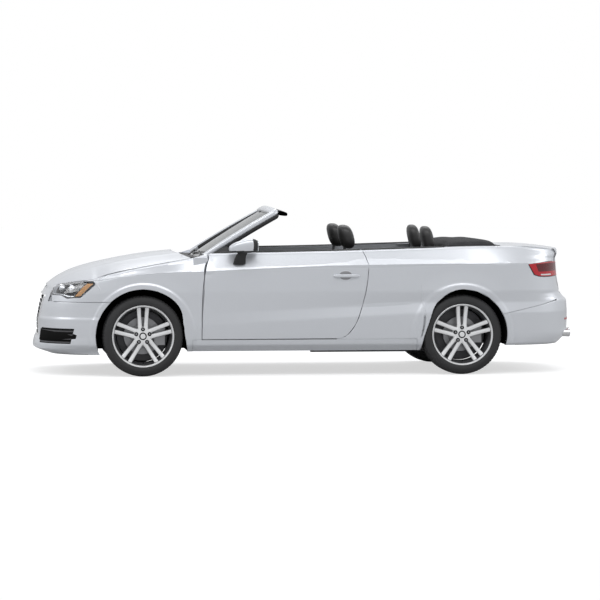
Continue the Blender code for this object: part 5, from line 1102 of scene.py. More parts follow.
@dataclass(frozen=True)
class Lids(Skins):
    """Hood and boot lid skins."""

    front_y: float = -2.098
    rear_y: float = -1.080
    rear_bow: float = 0.150
    inset: float = 0.0355
    hinge_y: float = -0.935
    crown_power: float = 2.4
    lid_low: float = 0.672
    lid_top: float = 1.046
    lid_front: float = 1.608
    lid_crown: float = 0.012
    lid_lines: tuple[tuple[float, float, float], ...] = (
        (0.000, 1.000, 0.60), (0.200, 1.003, 0.60), (0.400, 1.004, 0.60), (0.600, 0.992, 0.60),
        (0.780, 0.970, 0.60), (0.900, 0.948, 0.60), (0.975, 0.932, 0.60), (0.998, 0.922, 0.598),
        (1.000, 0.905, 0.595), (1.000, 0.870, 0.580), (1.000, 0.830, 0.560), (1.000, 0.720, 0.520),
        (1.000, 0.520, 0.520), (1.000, 0.340, 0.520), (1.000, 0.170, 0.520), (1.000, 0.000, 0.520))

    def hood(self) -> bpy.types.Object:
        """Crowned hood.

        Formula: across it, height falls from the crown line to the side's edge by a power of the
        share of the half width; along it, rows run from a straight front edge to a bowed rear
        one. Two soft ridges stand a few millimetres along it.

        Returns:
            The hood skin.
        """
        across = np.linspace(-1, 1, 141)[None, :]
        step = np.linspace(0, 1, 131)[:, None] ** 1.3
        corner = float(SHAPE.side_width(self.hinge_y, SHAPE.edge(self.hinge_y))) - self.inset
        rear = self.rear_y + self.rear_bow * (across * corner / SHAPE.half_width) ** 2
        y = self.front_y + (rear - self.front_y) * step
        edge = SHAPE.edge(y)
        plan = SHAPE.skin(End.FRONT, SHAPE.turn(End.FRONT, y, edge), edge)[..., 0]
        x = across * (np.maximum(plan, 0.30) - self.inset)
        crown = SHAPE.line(SHAPE.hood_crown, y)
        z = crown + (edge - crown) * np.abs(across) ** self.crown_power + SHAPE.proud
        ridge = np.exp(-((np.abs(x) - 0.42 - 0.05 * step) / 0.045) ** 2)
        z = z + 0.0035 * ridge * smooth_step(0.0, 0.2, step)
        return self.skin("hood_skin", np.stack([x, y + 0 * x, z], axis=-1), body="hood")

    def boot(self) -> bpy.types.Object:
        """Boot lid, folded over its lip and down the tail.

        Formula: a spine of places and heights, eased through its table, carries level rows whose
        ends narrow down the tail; the top is crowned across.

        Returns:
            The lid skin.
        """
        table = np.array(self.lid_lines)
        reach = np.concatenate([[0], np.cumsum(np.hypot(np.diff(table[:, 0]) * 0.53,
                                                        np.diff(table[:, 1]) * 0.374))])
        place = np.linspace(0, reach[-1], 110)
        columns = [eased(tuple(zip(reach, table[:, index])), place) for index in range(3)]
        run, height, width = (column[:, None] for column in columns)
        across = np.linspace(-1, 1, 121)[None, :]
        x = across * width
        z = self.lid_low + (self.lid_top - self.lid_low) * height + 0 * x
        rear = End.REAR
        wide = SHAPE.side_width(SHAPE.axle(rear), z) - SHAPE.proud
        rim = SHAPE.axle(rear) + SHAPE.reach(rear, z) * (
            1 - np.clip(np.abs(x) / wide, 0, 1) ** SHAPE.tail_power) ** (1 / SHAPE.tail_power)
        y = self.lid_front + (rim - 0.001 - self.lid_front) * run
        z = z - self.lid_crown * across ** 2 * (1 - smooth_step(0.97, 1.0, run)) + 0.0015
        return self.skin("boot_lid_skin", np.stack([x, y, z], axis=-1), body="boot_lid")

    def build(self) -> None:
        """Make both lids."""
        self.hood()
        self.boot()


def blob(centre: tuple, half: tuple, power: float = 0.45, rows: int = 24, sides: int = 48) -> Array:
    """Grid of a rounded box.

    Formula: a sphere's latitude and longitude, with each sine and cosine raised to a power under
    one that keeps its sign, times the half sizes.

    Args:
        centre: middle of the box.
        half: half sizes.
        power: 1 gives an ellipsoid, smaller gives squarer corners.
        rows: rows from pole to pole.
        sides: points round each row.

    Returns:
        The points, closed round the second axis.
    """
    up = np.linspace(-math.pi / 2, math.pi / 2, rows)[:, None]
    around = full_turn(sides)[None, :]
    flat = signed_power(np.cos(up), power)
    points = np.stack([flat * signed_power(np.cos(around), power),
                       flat * signed_power(np.sin(around), power),
                       signed_power(np.sin(up), power) + 0 * around], axis=-1)
    points[[0, -1], :, :2] = 0.0
    return points * half + np.asarray(centre, float)


def leaned(points: Array, pivot: tuple, degrees: float) -> Array:
    """Turn points about a line across the car through a pivot; positive leans the top back."""
    angle = math.radians(degrees)
    y, z = points[..., 1] - pivot[0], points[..., 2] - pivot[1]
    turned = points.copy()
    turned[..., 1] = pivot[0] + y * math.cos(angle) + z * math.sin(angle)
    turned[..., 2] = pivot[1] - y * math.sin(angle) + z * math.cos(angle)
    return turned


@dataclass(frozen=True)
class Wheels:
    """Four wheels: tyre with cut tread, rim with five twin spokes, disc, bolts and cap."""

    half_width: float = 0.1125
    lip_radius: float = 0.2495
    pitches: int = 72
    spoke_width: float = 0.033
    spoke_gaps: tuple[float, float] = (0.012, 0.036)
    bolt_circle: float = 0.056
    spoke_pairs: int = 5
    rim_sides: int = 144
    barrel_rows: tuple[int, int] = (4, 10)
    groove_depth: float = 0.0045
    sipe_depth: float = 0.0025
    disc_radii: tuple[float, float] = (0.150, 0.141)

    def tyre(self, side: Side, end: End) -> None:
        """Tyre: low side walls with two fine rings, round grooves and cross cuts in the tread.

        Formula: a closed profile of distance and radius is turned; across the shoulder rows the
        radius drops in a fixed share of each pitch round the wheel.

        Args:
            side: side of the car.
            end: end of the car.
        """
        wall = [(-0.094, 0.2400), (-0.104, 0.2450), (-0.1100, 0.2560), (-0.1112, 0.2580),
                (-0.1112, 0.2610), (-0.1122, 0.2630), (-0.1125, 0.2760), (-0.1105, 0.2920),
                (-0.1095, 0.2935), (-0.1085, 0.2990), (-0.1040, 0.3080), (-0.0975, 0.3155),
                (-0.0900, 0.3200), (-0.0780, 0.3230), (-0.0640, 0.3240)]
        grooves = [(-0.0600, 0.3242), (-0.0585, 0.3172), (-0.0500, 0.3172), (-0.0485, 0.3245),
                   (-0.0260, 0.3249), (-0.0245, 0.3175), (-0.0150, 0.3175), (-0.0135, 0.3250)]
        half = np.array(wall + grooves)
        profile = np.concatenate([half, half[::-1] * [-1, 1]])
        sides = self.pitches * 4
        angle = full_turn(sides)
        cut = (np.arange(sides)[None, :] % 4 == 0) * np.ones((len(profile), 1))
        place = np.abs(profile[:, :1])
        depth = self.groove_depth * ((place > 0.062) & (place < 0.100)) + self.sipe_depth * (
            (place > 0.026) & (place < 0.049))
        radius = profile[:, 1:] - cut * depth
        points = np.stack([profile[:, :1] + 0 * angle, radius * np.cos(angle),
                           radius * np.sin(angle)], axis=-1)
        name = f"{end.word}_{side.word}"
        piece = Piece(f"tyre_{name}_look", (RUBBER,), f"wheel_{name}")
        piece.grid(points + self.hub(end), loop=(True, True))
        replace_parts(piece.build(side=side, smooth=32.0), f"tyre_{name}")

    def hub(self, end: End) -> Array:
        """Centre of the left wheel at an end."""
        return np.array([SHAPE.track / 2, SHAPE.axle(end), SHAPE.tyre_radius])

    def spoke(self, piece: Piece, turn: float, hand: int, centre: Array) -> None:
        """One spoke of a pair.

        Formula: a rounded wedge section runs from the hub to the rim, and the pair's spacing
        widens evenly with the radius.

        Args:
            piece: piece that receives it.
            turn: direction of the pair.
            hand: -1 or 1 for the two spokes of the pair.
            centre: middle of the wheel.
        """
        section = np.array([(-0.40, 0.0), (-0.20, 0.0018), (0.20, 0.0018), (0.40, 0.0),
                            (0.48, -0.003), (0.54, -0.012), (0.50, -0.030), (-0.50, -0.030),
                            (-0.54, -0.012), (-0.48, -0.003)])
        run = np.linspace(0, 1, 15)[:, None]
        reach = 0.050 + 0.187 * run
        gap = self.spoke_gaps[0] + (self.spoke_gaps[1] - self.spoke_gaps[0]) * run
        wide = self.spoke_width * (1.02 - 0.10 * np.sin(math.pi * run))
        beside = hand * (gap + self.spoke_width) / 2 + section[:, 0] * wide
        face = 0.070 + 0.018 * run - 0.012 * np.sin(math.pi * run) + section[:, 1]
        y = reach * math.cos(turn) - beside * math.sin(turn)
        z = reach * math.sin(turn) + beside * math.cos(turn)
        piece.rings(capped(np.stack([face + 0 * y, y, z], axis=-1)) + centre)

    def rim(self, side: Side, end: End) -> None:
        """Rim, spokes, hub, disc, bolts and cap as one wheel."""
        centre = self.hub(end)
        lip = self.lip_radius
        bed = [(0.1045, lip), (0.1075, lip - 0.0015), (0.1080, lip - 0.005), (0.1020, lip - 0.010),
               (0.0950, 0.2350), (0.0800, 0.2290), (0.0300, 0.2140), (-0.0600, 0.2140),
               (-0.0950, 0.2280), (-0.1030, 0.2400), (-0.1050, lip), (-0.0990, lip),
               (-0.0900, 0.2380), (-0.0600, 0.2240), (0.0300, 0.2240), (0.0850, 0.2380),
               (0.0980, 0.2420)]
        name = f"{end.word}_{side.word}"
        piece = Piece(f"wheel_{name}_look", (ALLOY, STEEL, BLACK_AND_PAINTED_SHADE, DARK_METAL), f"wheel_{name}")
        profile = np.array(bed)
        angle = full_turn(self.rim_sides)
        points = np.stack([profile[:, :1] + 0 * angle, profile[:, 1:] * np.cos(angle),
                           profile[:, 1:] * np.sin(angle)], axis=-1)
        # The inside of the barrel, seen between the spokes, takes dark metal: painted shade of the
        # alloy deep in the wheel.
        barrel = np.isin(np.arange(len(bed)), np.arange(*self.barrel_rows))[:, None] & (angle > -1)
        piece.grid(points + centre, 0, ~barrel, (True, True))
        piece.grid(points + centre, 3, barrel, (True, True))
        for turn in math.pi / 2 + full_turn(self.spoke_pairs):
            for hand in (-1, 1):
                self.spoke(piece, turn, hand, centre)
            place = centre + np.array([0.0, math.cos(turn), math.sin(turn)]) * self.bolt_circle
            # Near-black cup round each bolt: painted shade of its recess.
            piece.lathe([(0.0600, 0.0), (0.0600, 0.0160), (0.0742, 0.0160), (0.0742, 0.0)],
                        place, 0, 32, 2)
            piece.lathe([(0.0700, 0.0), (0.0700, 0.0085), (0.0765, 0.0085), (0.0775, 0.0070),
                         (0.0775, 0.0)], place, 0, 6, 1)
        hub = [(-0.0700, 0.0), (-0.0700, 0.0780), (-0.0480, 0.0780), (-0.0480, 0.0700),
               (0.0300, 0.0700), (0.0560, 0.0760), (0.0640, 0.0720), (0.0690, 0.0600),
               (0.0715, 0.0400), (0.0715, 0.0300), (0.0690, 0.0295), (0.0690, 0.0)]
        piece.lathe(hub, centre, 0, 96)
        # Near-black ring round the centre cap: painted shade of the hub's bore.
        piece.lathe([(0.0680, 0.0), (0.0680, 0.0300), (0.0742, 0.0300), (0.0742, 0.0)], centre, 0,
                    64, 2)
        piece.lathe([(0.0700, 0.0), (0.0700, 0.0215), (0.0762, 0.0210), (0.0775, 0.0)], centre, 0, 64)
        disc = self.disc_radii[0 if end is End.FRONT else 1]
        piece.lathe([(-0.0480, 0.060), (-0.0480, disc), (-0.0400, disc), (-0.0400, disc - 0.004),
                     (-0.0340, disc - 0.004), (-0.0340, disc), (-0.0260, disc), (-0.0260, 0.098),
                     (-0.0285, 0.095), (-0.0285, 0.060)], centre, 0, 120, 1)
        stem = centre + np.array([0.0, 0.0, -0.216])
        piece.tube([stem + [0.086, 0, 0], stem + [0.100, 0, 0.004]], 0.0045, 12, 2)
        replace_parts(piece.build(side=side, edge=0.0007, smooth=30.0), f"wheel_{name}")

    def build(self) -> None:
        """Make all four wheels."""
        for side in Side:
            for end in End:
                self.tyre(side, end)
                self.rim(side, end)


def along_turn(end: End, flat: Array) -> Array:
    """Turn side view points (place, height) into plan coordinate and height."""
    return np.stack([SHAPE.turn(end, flat[..., 0], flat[..., 1]), flat[..., 1]], axis=-1)


def pushed(points: Array, depth: float) -> Array:
    """Move a grid of the left side along its own normals, outwards for a positive depth."""
    normal = grid_normals(points)
    return points + normal * np.sign(np.sum(normal[..., 0])) * depth


@dataclass(frozen=True)
class Lamps:
    """Headlamps behind clear lenses, tail lamps and rear reflectors."""

    strip_depth: float = 0.009
    amber_depth: float = 0.008
    lens_rise: float = 0.0024
    rim_rise: float = 0.0008
    reflector_rise: float = 0.003

    def front_patch(self, rows: int, columns: int) -> Array:
        """Grid of the headlamp's lens on the body's skin."""
        lamp = SHAPE.metres(LINES.headlamp)
        low, high = 0.6545, 0.7175
        first = [(float(SHAPE.turn_at(End.FRONT, 0.527, z)), z) for z in (low, high)]
        turned = along_turn(End.FRONT, lamp)
        base = rounded(np.array([first[0], turned[2], turned[3], turned[4]]), columns, 2)
        crown = rounded(np.array([first[1], turned[8], turned[7], turned[6], turned[5]]), columns, 2)
        left = along([base[0], crown[0]], rows)
        right = along([base[-1], crown[-1]], rows)
        return coons(base, crown, left, right)

    def headlamp(self, side: Side, name: str) -> bpy.types.Object:
        """Clear lens, black bowl, two projectors, light strip and amber strip."""
        rows, columns = 28, 80
        flat = self.front_patch(rows, columns)
        skin = SHAPE.skin(End.FRONT, flat[..., 0], flat[..., 1])
        lens = Piece(name + "_lens", (LENS,)).grid(skin - [0.001, 0.0, 0.0])
        lens.build(0.0022, side=side, outward=HEART)
        u = np.linspace(0, 1, columns)[None, :]
        v = np.linspace(0, 1, rows)[:, None]
        inside_share = np.minimum(smooth_step(0, 0.10, u) * smooth_step(0, 0.10, 1 - u),
                                  smooth_step(0, 0.28, v) * smooth_step(0, 0.28, 1 - v))
        bowl = skin - np.stack([0.012 + 0.066 * inside_share, -0.052 * inside_share,
                                0 * inside_share], axis=-1)
        rim = Piece(name + "_look", (GLOSS, BRIGHT, AMBER, MIRROR)).grid(bowl)
        for spot, size in (((0.30, 0.55), 0.036), ((0.58, 0.54), 0.038)):
            row, column = int(spot[1] * (rows - 1)), int(spot[0] * (columns - 1))
            place = skin[row, column] + np.array([-0.062, 0.030, 0.0])
            profile = [(0.000, 0.0), (0.000, size * 0.7), (-0.030, size), (-0.036, size),
                       (-0.036, size * 0.86), (-0.022, size * 0.74), (-0.022, 0.0)]
            rim.lathe(profile, place, 1, 48, 1)
            dome = [(-0.022, size * 0.70), (-0.034, size * 0.60), (-0.042, size * 0.36),
                    (-0.045, 0.0)]
            rim.lathe(dome, place, 1, 48, 3)
        strip = pushed(skin, -self.strip_depth)[2:5, 6:62]
        rim.grid(strip, 1)
        amber = pushed(skin, -self.amber_depth)[3:25, 63:75]
        rim.grid(amber, 2)
        made = rim.build(0.0012, side=side, outward=HEART)
        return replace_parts(made, f"headlamp_{side.word}")

    def rear_patch(self, rows: int, columns: int, grow: float) -> Array:
        """Grid of the tail lamp's lens, grown by a margin."""
        end = End.REAR
        lamp = SHAPE.metres(LINES.tail_lamp)
        low, high = 0.797 - grow, 0.906 + grow
        last = [(float(SHAPE.turn_at(end, 0.532 - grow, z)), z) for z in (low, high)]
        turned = along_turn(end, lamp)
        turned[0] += [-grow * 1.2, 0.0]
        turned[1] += [-grow * 1.2, -grow]
        turned[2, 1] -= grow
        turned[5, 1] += grow
        base = rounded(np.array([turned[1], turned[2], last[0]]), columns, 2)
        crown = rounded(np.array([turned[0], turned[5], last[1]]), columns, 2)
        left = along([base[0], crown[0]], rows)
        right = along([base[-1], crown[-1]], rows)
        return coons(base, crown, left, right)

    def tail_lamp(self, side: Side, name: str) -> bpy.types.Object:
        """Red lens with a brighter band, a clear strip and a dark rim."""
        rows, columns = 30, 70
        flat = self.rear_patch(rows, columns, 0.0)
        skin = SHAPE.skin(End.REAR, flat[..., 0], flat[..., 1])
        lens = pushed(skin, self.lens_rise)
        u = np.linspace(0, 1, columns - 1)[None, :]
        v = np.linspace(0, 1, rows - 1)[:, None]
        band = (u < 0.17) | (v < 0.34) | (v > 0.93)
        clear = (v > 0.05) & (v < 0.16) & (u > 0.22) & (u < 0.60)
        piece = Piece(name + "_look", (RED, DEEP_RED, BRIGHT, GLOSS))
        piece.grid(lens, 1, ~band & ~clear)
        piece.grid(lens, 0, band & ~clear)
        piece.grid(lens, 2, clear)
        made = piece.build(0.0030, 0.0008, side=side, outward=HEART)
        flat = self.rear_patch(rows, columns, 0.006)
        rim = pushed(SHAPE.skin(End.REAR, flat[..., 0], flat[..., 1]), self.rim_rise)
        Piece(name + "_rim", (GLOSS,)).grid(rim).build(0.0025, side=side, outward=HEART)
        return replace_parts(made, f"tail_lamp_{side.word}")

    def reflector(self, side: Side, name: str) -> bpy.types.Object:
        """Narrow red reflector low in the rear bumper."""
        turn = np.linspace(0.80, 0.93, 40)[None, :]
        z = np.linspace(0.428, 0.444, 5)[:, None]
        points = SHAPE.skin(End.REAR, turn + 0 * z, z + 0 * turn)
        piece = Piece(name, (RED,)).grid(pushed(points, self.reflector_rise))
        return piece.build(0.004, 0.001, side=side, outward=HEART)

    def build(self) -> None:
        """Make every lamp."""
        pair(self.headlamp, "headlamp")
        pair(self.tail_lamp, "tail_lamp")
        pair(self.reflector, "reflector")


SCREEN_OUT = np.array([0.0, -0.5, 0.866])
UNDER_SCREEN = (0.0, 0.0, 0.6)


@dataclass(frozen=True)
class Windscreen:
    """Curved glass, silver pillars and header, and the black seal round the glass."""

    foot: tuple[float, float, float] = (0.698, -0.845, 0.938)
    head: tuple[float, float, float] = (0.585, -0.262, 1.312)
    foot_bow: float = 0.070
    head_bow: float = 0.028
    head_rise: float = 0.021
    swell: float = 0.006
    seal_rise: float = 0.0042

    def surface(self, across: Array, up: Array) -> Array:
        """Points of the glass.

        Formula: straight lines from a bowed foot line to a bowed, crowned head line, with the
        bow falling as the square of the distance from the middle.

        Args:
            across: -1 to 1 over the width.
            up: 0 at the foot, 1 at the head.

        Returns:
            The points.
        """
        across, up = np.broadcast_arrays(across, up)
        bow = 1 - across ** 2
        foot = np.stack([across * self.foot[0], self.foot[1] - self.foot_bow * bow,
                         self.foot[2] + 0 * bow], axis=-1)
        head = np.stack([across * self.head[0], self.head[1] - self.head_bow * bow,
                         self.head[2] + self.head_rise * bow], axis=-1)
        swell = self.swell * np.sin(math.pi * up)[..., None] * SCREEN_OUT
        return foot + (head - foot) * up[..., None] + swell

    def build(self) -> None:
        """Make the glass, its seal and the frame."""
        across, up = np.linspace(-1, 1, 61)[None, :], np.linspace(0, 1, 41)[:, None]
        glass = Piece("windscreen_look", (GLASS,)).grid(self.surface(across, up))
        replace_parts(glass.build(0.005, outward=UNDER_SCREEN), "windscreen")
        seal = Piece("windscreen_seal", (GLOSS,))
        outwards = SCREEN_OUT * self.seal_rise
        for bounds in (((-0.999, -0.962), (0.0, 1.0)), ((0.962, 0.999), (0.0, 1.0)),
                       ((-0.999, 0.999), (0.0, 0.085)), ((-0.999, 0.999), (0.952, 1.0))):
            a = np.linspace(*bounds[0], 41)[None, :]
            b = np.linspace(*bounds[1], 31)[:, None]
            for lift in (1, -1.6):
                seal.grid(self.surface(a, b) + outwards * lift)
        seal.build(0.0012, outward=UNDER_SCREEN)
        frame = Piece("windscreen_frame_look", (PAINT, BLACK))
        path = self.frame_path()
        ahead = np.gradient(path, axis=0)
        ahead = ahead / np.linalg.norm(ahead, axis=1, keepdims=True)
        out = SCREEN_OUT - ahead * (ahead @ SCREEN_OUT)[:, None]
        out = out / np.linalg.norm(out, axis=1, keepdims=True)
        beside = np.cross(ahead, out)
        angle = full_turn(36)
        wide, deep, squareness = 0.034, 0.0235, 0.60
        ring = (beside[:, None] * (wide * signed_power(np.cos(angle), squareness))[None, :, None]
                + out[:, None] * (deep * signed_power(np.sin(angle), squareness))[None, :, None])
        frame.rings(capped(path[:, None] + ring))
        trim = path - out * 0.028
        frame.tube(trim[14:-14], 0.0250, 20, 1)
        for hand in (1, -1):
            post = path[(path[:, 0] * hand > 0.590) & (path[:, 2] > 1.0)]
            inwards = np.array([-0.020 * hand, 0.0, 0.0])
            frame.tube(post + inwards - out[:len(post)] * 0.004, 0.0225, 18, 1)
        across = np.linspace(-1, 1, 49)[None, :]
        turn = full_turn(28)[:, None]
        bow = 1 - across ** 2
        depth = 0.058 * signed_power(np.cos(turn), squareness)
        height = 0.018 * signed_power(np.sin(turn), squareness)
        y = self.head[1] - self.head_bow * bow + 0.050 + depth
        z = self.head[2] + self.head_rise * bow - 0.004 - 0.16 * depth + height
        frame.grid(np.stack([across * 0.575 + 0 * y, y, z], axis=-1), 1, loop=(True, False))
        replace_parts(frame.build(smooth=50.0), "windscreen_frame")

    def frame_path(self) -> Array:
        """Centre line of the frame, from one foot over the header to the other."""
        foot, head = np.array([0.700, -0.848, 0.962]), np.array(self.head)
        rise = np.linspace(0, 1, 40)[:, None]
        post = foot + (head - foot) * rise + np.array([0.0, -0.004, 0.006]) * np.sin(math.pi * rise)
        share = np.linspace(1, 0, 30)[1:, None]
        bow = 1 - share ** 2
        beam = np.concatenate([head[0] * share, head[1] - self.head_bow * bow,
                               head[2] + self.head_rise * bow], axis=1)
        half = np.concatenate([post, beam])
        half = along(rounded(half, 160, 3), 90)
        return np.concatenate([half, half[-2::-1] * [-1, 1, 1]])


@dataclass(frozen=True)
class Mirrors:
    """Door mirrors: silver cap, black base and rim, and the mirror glass."""

    low: tuple[float, float, float] = (0.885, -0.665, 0.995)
    high: tuple[float, float, float] = (1.010, -0.430, 1.105)

    def mirror(self, side: Side, name: str) -> bpy.types.Object:
        """One mirror, with its foot on the door."""
        low, high = np.array(self.low), np.array(self.high)
        centre, half = (low + high) / 2, (high - low) / 2
        piece = Piece(name + "_look", (PAINT, BLACK, MIRROR), f"door_{side.word}")
        shell = blob(centre, half, 0.62, 36, 72)
        share = (shell[..., 1] - low[1]) / (high[1] - low[1])
        rise = np.clip((shell[..., 2] - low[2]) / (high[2] - low[2]), 0, 1)
        shell[..., 2] -= 0.042 * (1 - share) ** 2 * rise
        shell[..., 2] += 0.012 * share * rise
        cell = shell[:-1].mean(axis=1)
        high_part = (shell[:-1, :, 2] > low[2] + 0.016) & (share[:-1] < 0.80) & (cell[:, None, 0] > 0)
        piece.rings(shell, 0, high_part)
        piece.rings(shell, 1, ~high_part)
        glass = blob(centre + [0.0, half[1] - 0.004, 0.003], (half[0] - 0.014, 0.006,
                                                             half[2] - 0.012), 0.5, 20, 48)
        piece.rings(glass, 2)
        foot_y, foot_z = -0.575, 0.905
        base = np.array([float(SHAPE.side_width(foot_y, foot_z)) - 0.004, foot_y, foot_z])
        path = rounded([base, base + [0.028, 0.0, 0.006], base + [0.055, 0.004, 0.060],
                        centre + [-0.010, 0.01, -0.030]], 16, 2)
        ring = full_turn(24)
        wide = np.linspace(0.052, 0.036, 16)[:, None]
        thick = np.linspace(0.017, 0.014, 16)[:, None]
        foot = path[:, None] + np.stack([thick * np.cos(ring), wide * np.sin(ring),
                                         -thick * 0.5 * np.cos(ring)], axis=-1)
        piece.rings(capped(foot), 1)
        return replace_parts(piece.build(side=side, smooth=50.0), f"mirror_{side.word}")

    def triangle(self, side: Side, name: str) -> bpy.types.Object:
        """Black triangle between the pillar's foot and the door's belt, on the door."""
        corners = np.array([(-0.800, 0.985), (-0.620, 0.992), (-0.668, 1.048)])
        bottom = along(corners[:2], 20)
        top = along([corners[0], corners[2], corners[1]], 20)
        rise = np.linspace(0, 1, 6)[:, None, None]
        flat = bottom * (1 - rise) + top * rise
        x = 0.792 - 0.55 * (flat[..., 1] - 0.985)
        points = np.concatenate([x[..., None], flat], axis=-1)
        piece = Piece(name, (BLACK,), f"door_{side.word}").grid(points)
        return piece.build(0.012, 0.002, side=side, outward=HEART)

    def build(self) -> None:
        """Make both mirrors and their triangles."""
        pair(self.mirror, "mirror")
        pair(self.triangle, "mirror_triangle")


@dataclass(frozen=True)
class Arches:
    """Black liners inside the wheel openings and dust shields behind the discs."""

    gap: float = 0.003
    lip: float = 0.014
    inner_x: tuple[float, float] = (0.466, 0.616)
    lows: tuple[float, float] = (0.205, 0.240)
    outer_limit: float = 0.870
    shield_radius: float = 0.204

    def liner(self, side: Side, name: str) -> None:
        """Liners of one side, each a bent sheet with an upright inner wall.

        Formula: the opening's arc, pulled in by the gap, is carried inwards across the car, then
        shrunk towards the wheel's centre to close the wall.

        Args:
            side: side of the car.
            name: name of the piece.
        """
        piece = Piece(name, (BLACK_AND_PAINTED_SHADE,))
        for end, inner, low in zip(End, self.inner_x, self.lows):
            flat = LINES.arch(end, low, low, 90)
            centre = np.array([SHAPE.axle(end), SHAPE.tyre_radius])
            reach = np.linalg.norm(flat - centre, axis=1, keepdims=True)
            flat = centre + (flat - centre) * (1 - self.gap / reach)
            outer = SHAPE.side_width(flat[:, 0], flat[:, 1]) - self.lip
            outer = np.minimum(outer, self.outer_limit)
            share = np.linspace(0, 1, 8)[:, None]
            x = outer + (inner - outer) * share
            sheet = np.stack([x, flat[:, 0] + 0 * x, flat[:, 1] + 0 * x], axis=-1)
            piece.grid(sheet)
            shrink = np.linspace(1, 0, 6)[:, None, None]
            foot = np.array([SHAPE.axle(end), low])
            wall = foot + (flat - foot) * shrink
            piece.grid(np.concatenate([inner + 0 * wall[..., :1], wall], axis=-1))
        piece.build(0.0015, side=side)

    def shield(self, side: Side, name: str) -> None:
        """Dust shields of one side, dished sheets a little smaller than the rim's barrel."""
        radius = self.shield_radius
        for end in End:
            body = f"knuckle_{side.word}" if end is End.FRONT else "body"
            piece = Piece(f"{name}_{end.word}", (DARK_METAL,), body)
            profile = [(-0.0560, 0.060), (-0.0560, radius), (-0.0900, radius + 0.010),
                       (-0.0915, radius + 0.010), (-0.0575, radius - 0.002), (-0.0575, 0.060)]
            piece.lathe(profile, Wheels().hub(end), 0, 96)
            piece.build(side=side)

    def build(self) -> None:
        """Make the liners and shields."""
        pair(self.liner, "arch_liner")
        pair(self.shield, "dust_shield")


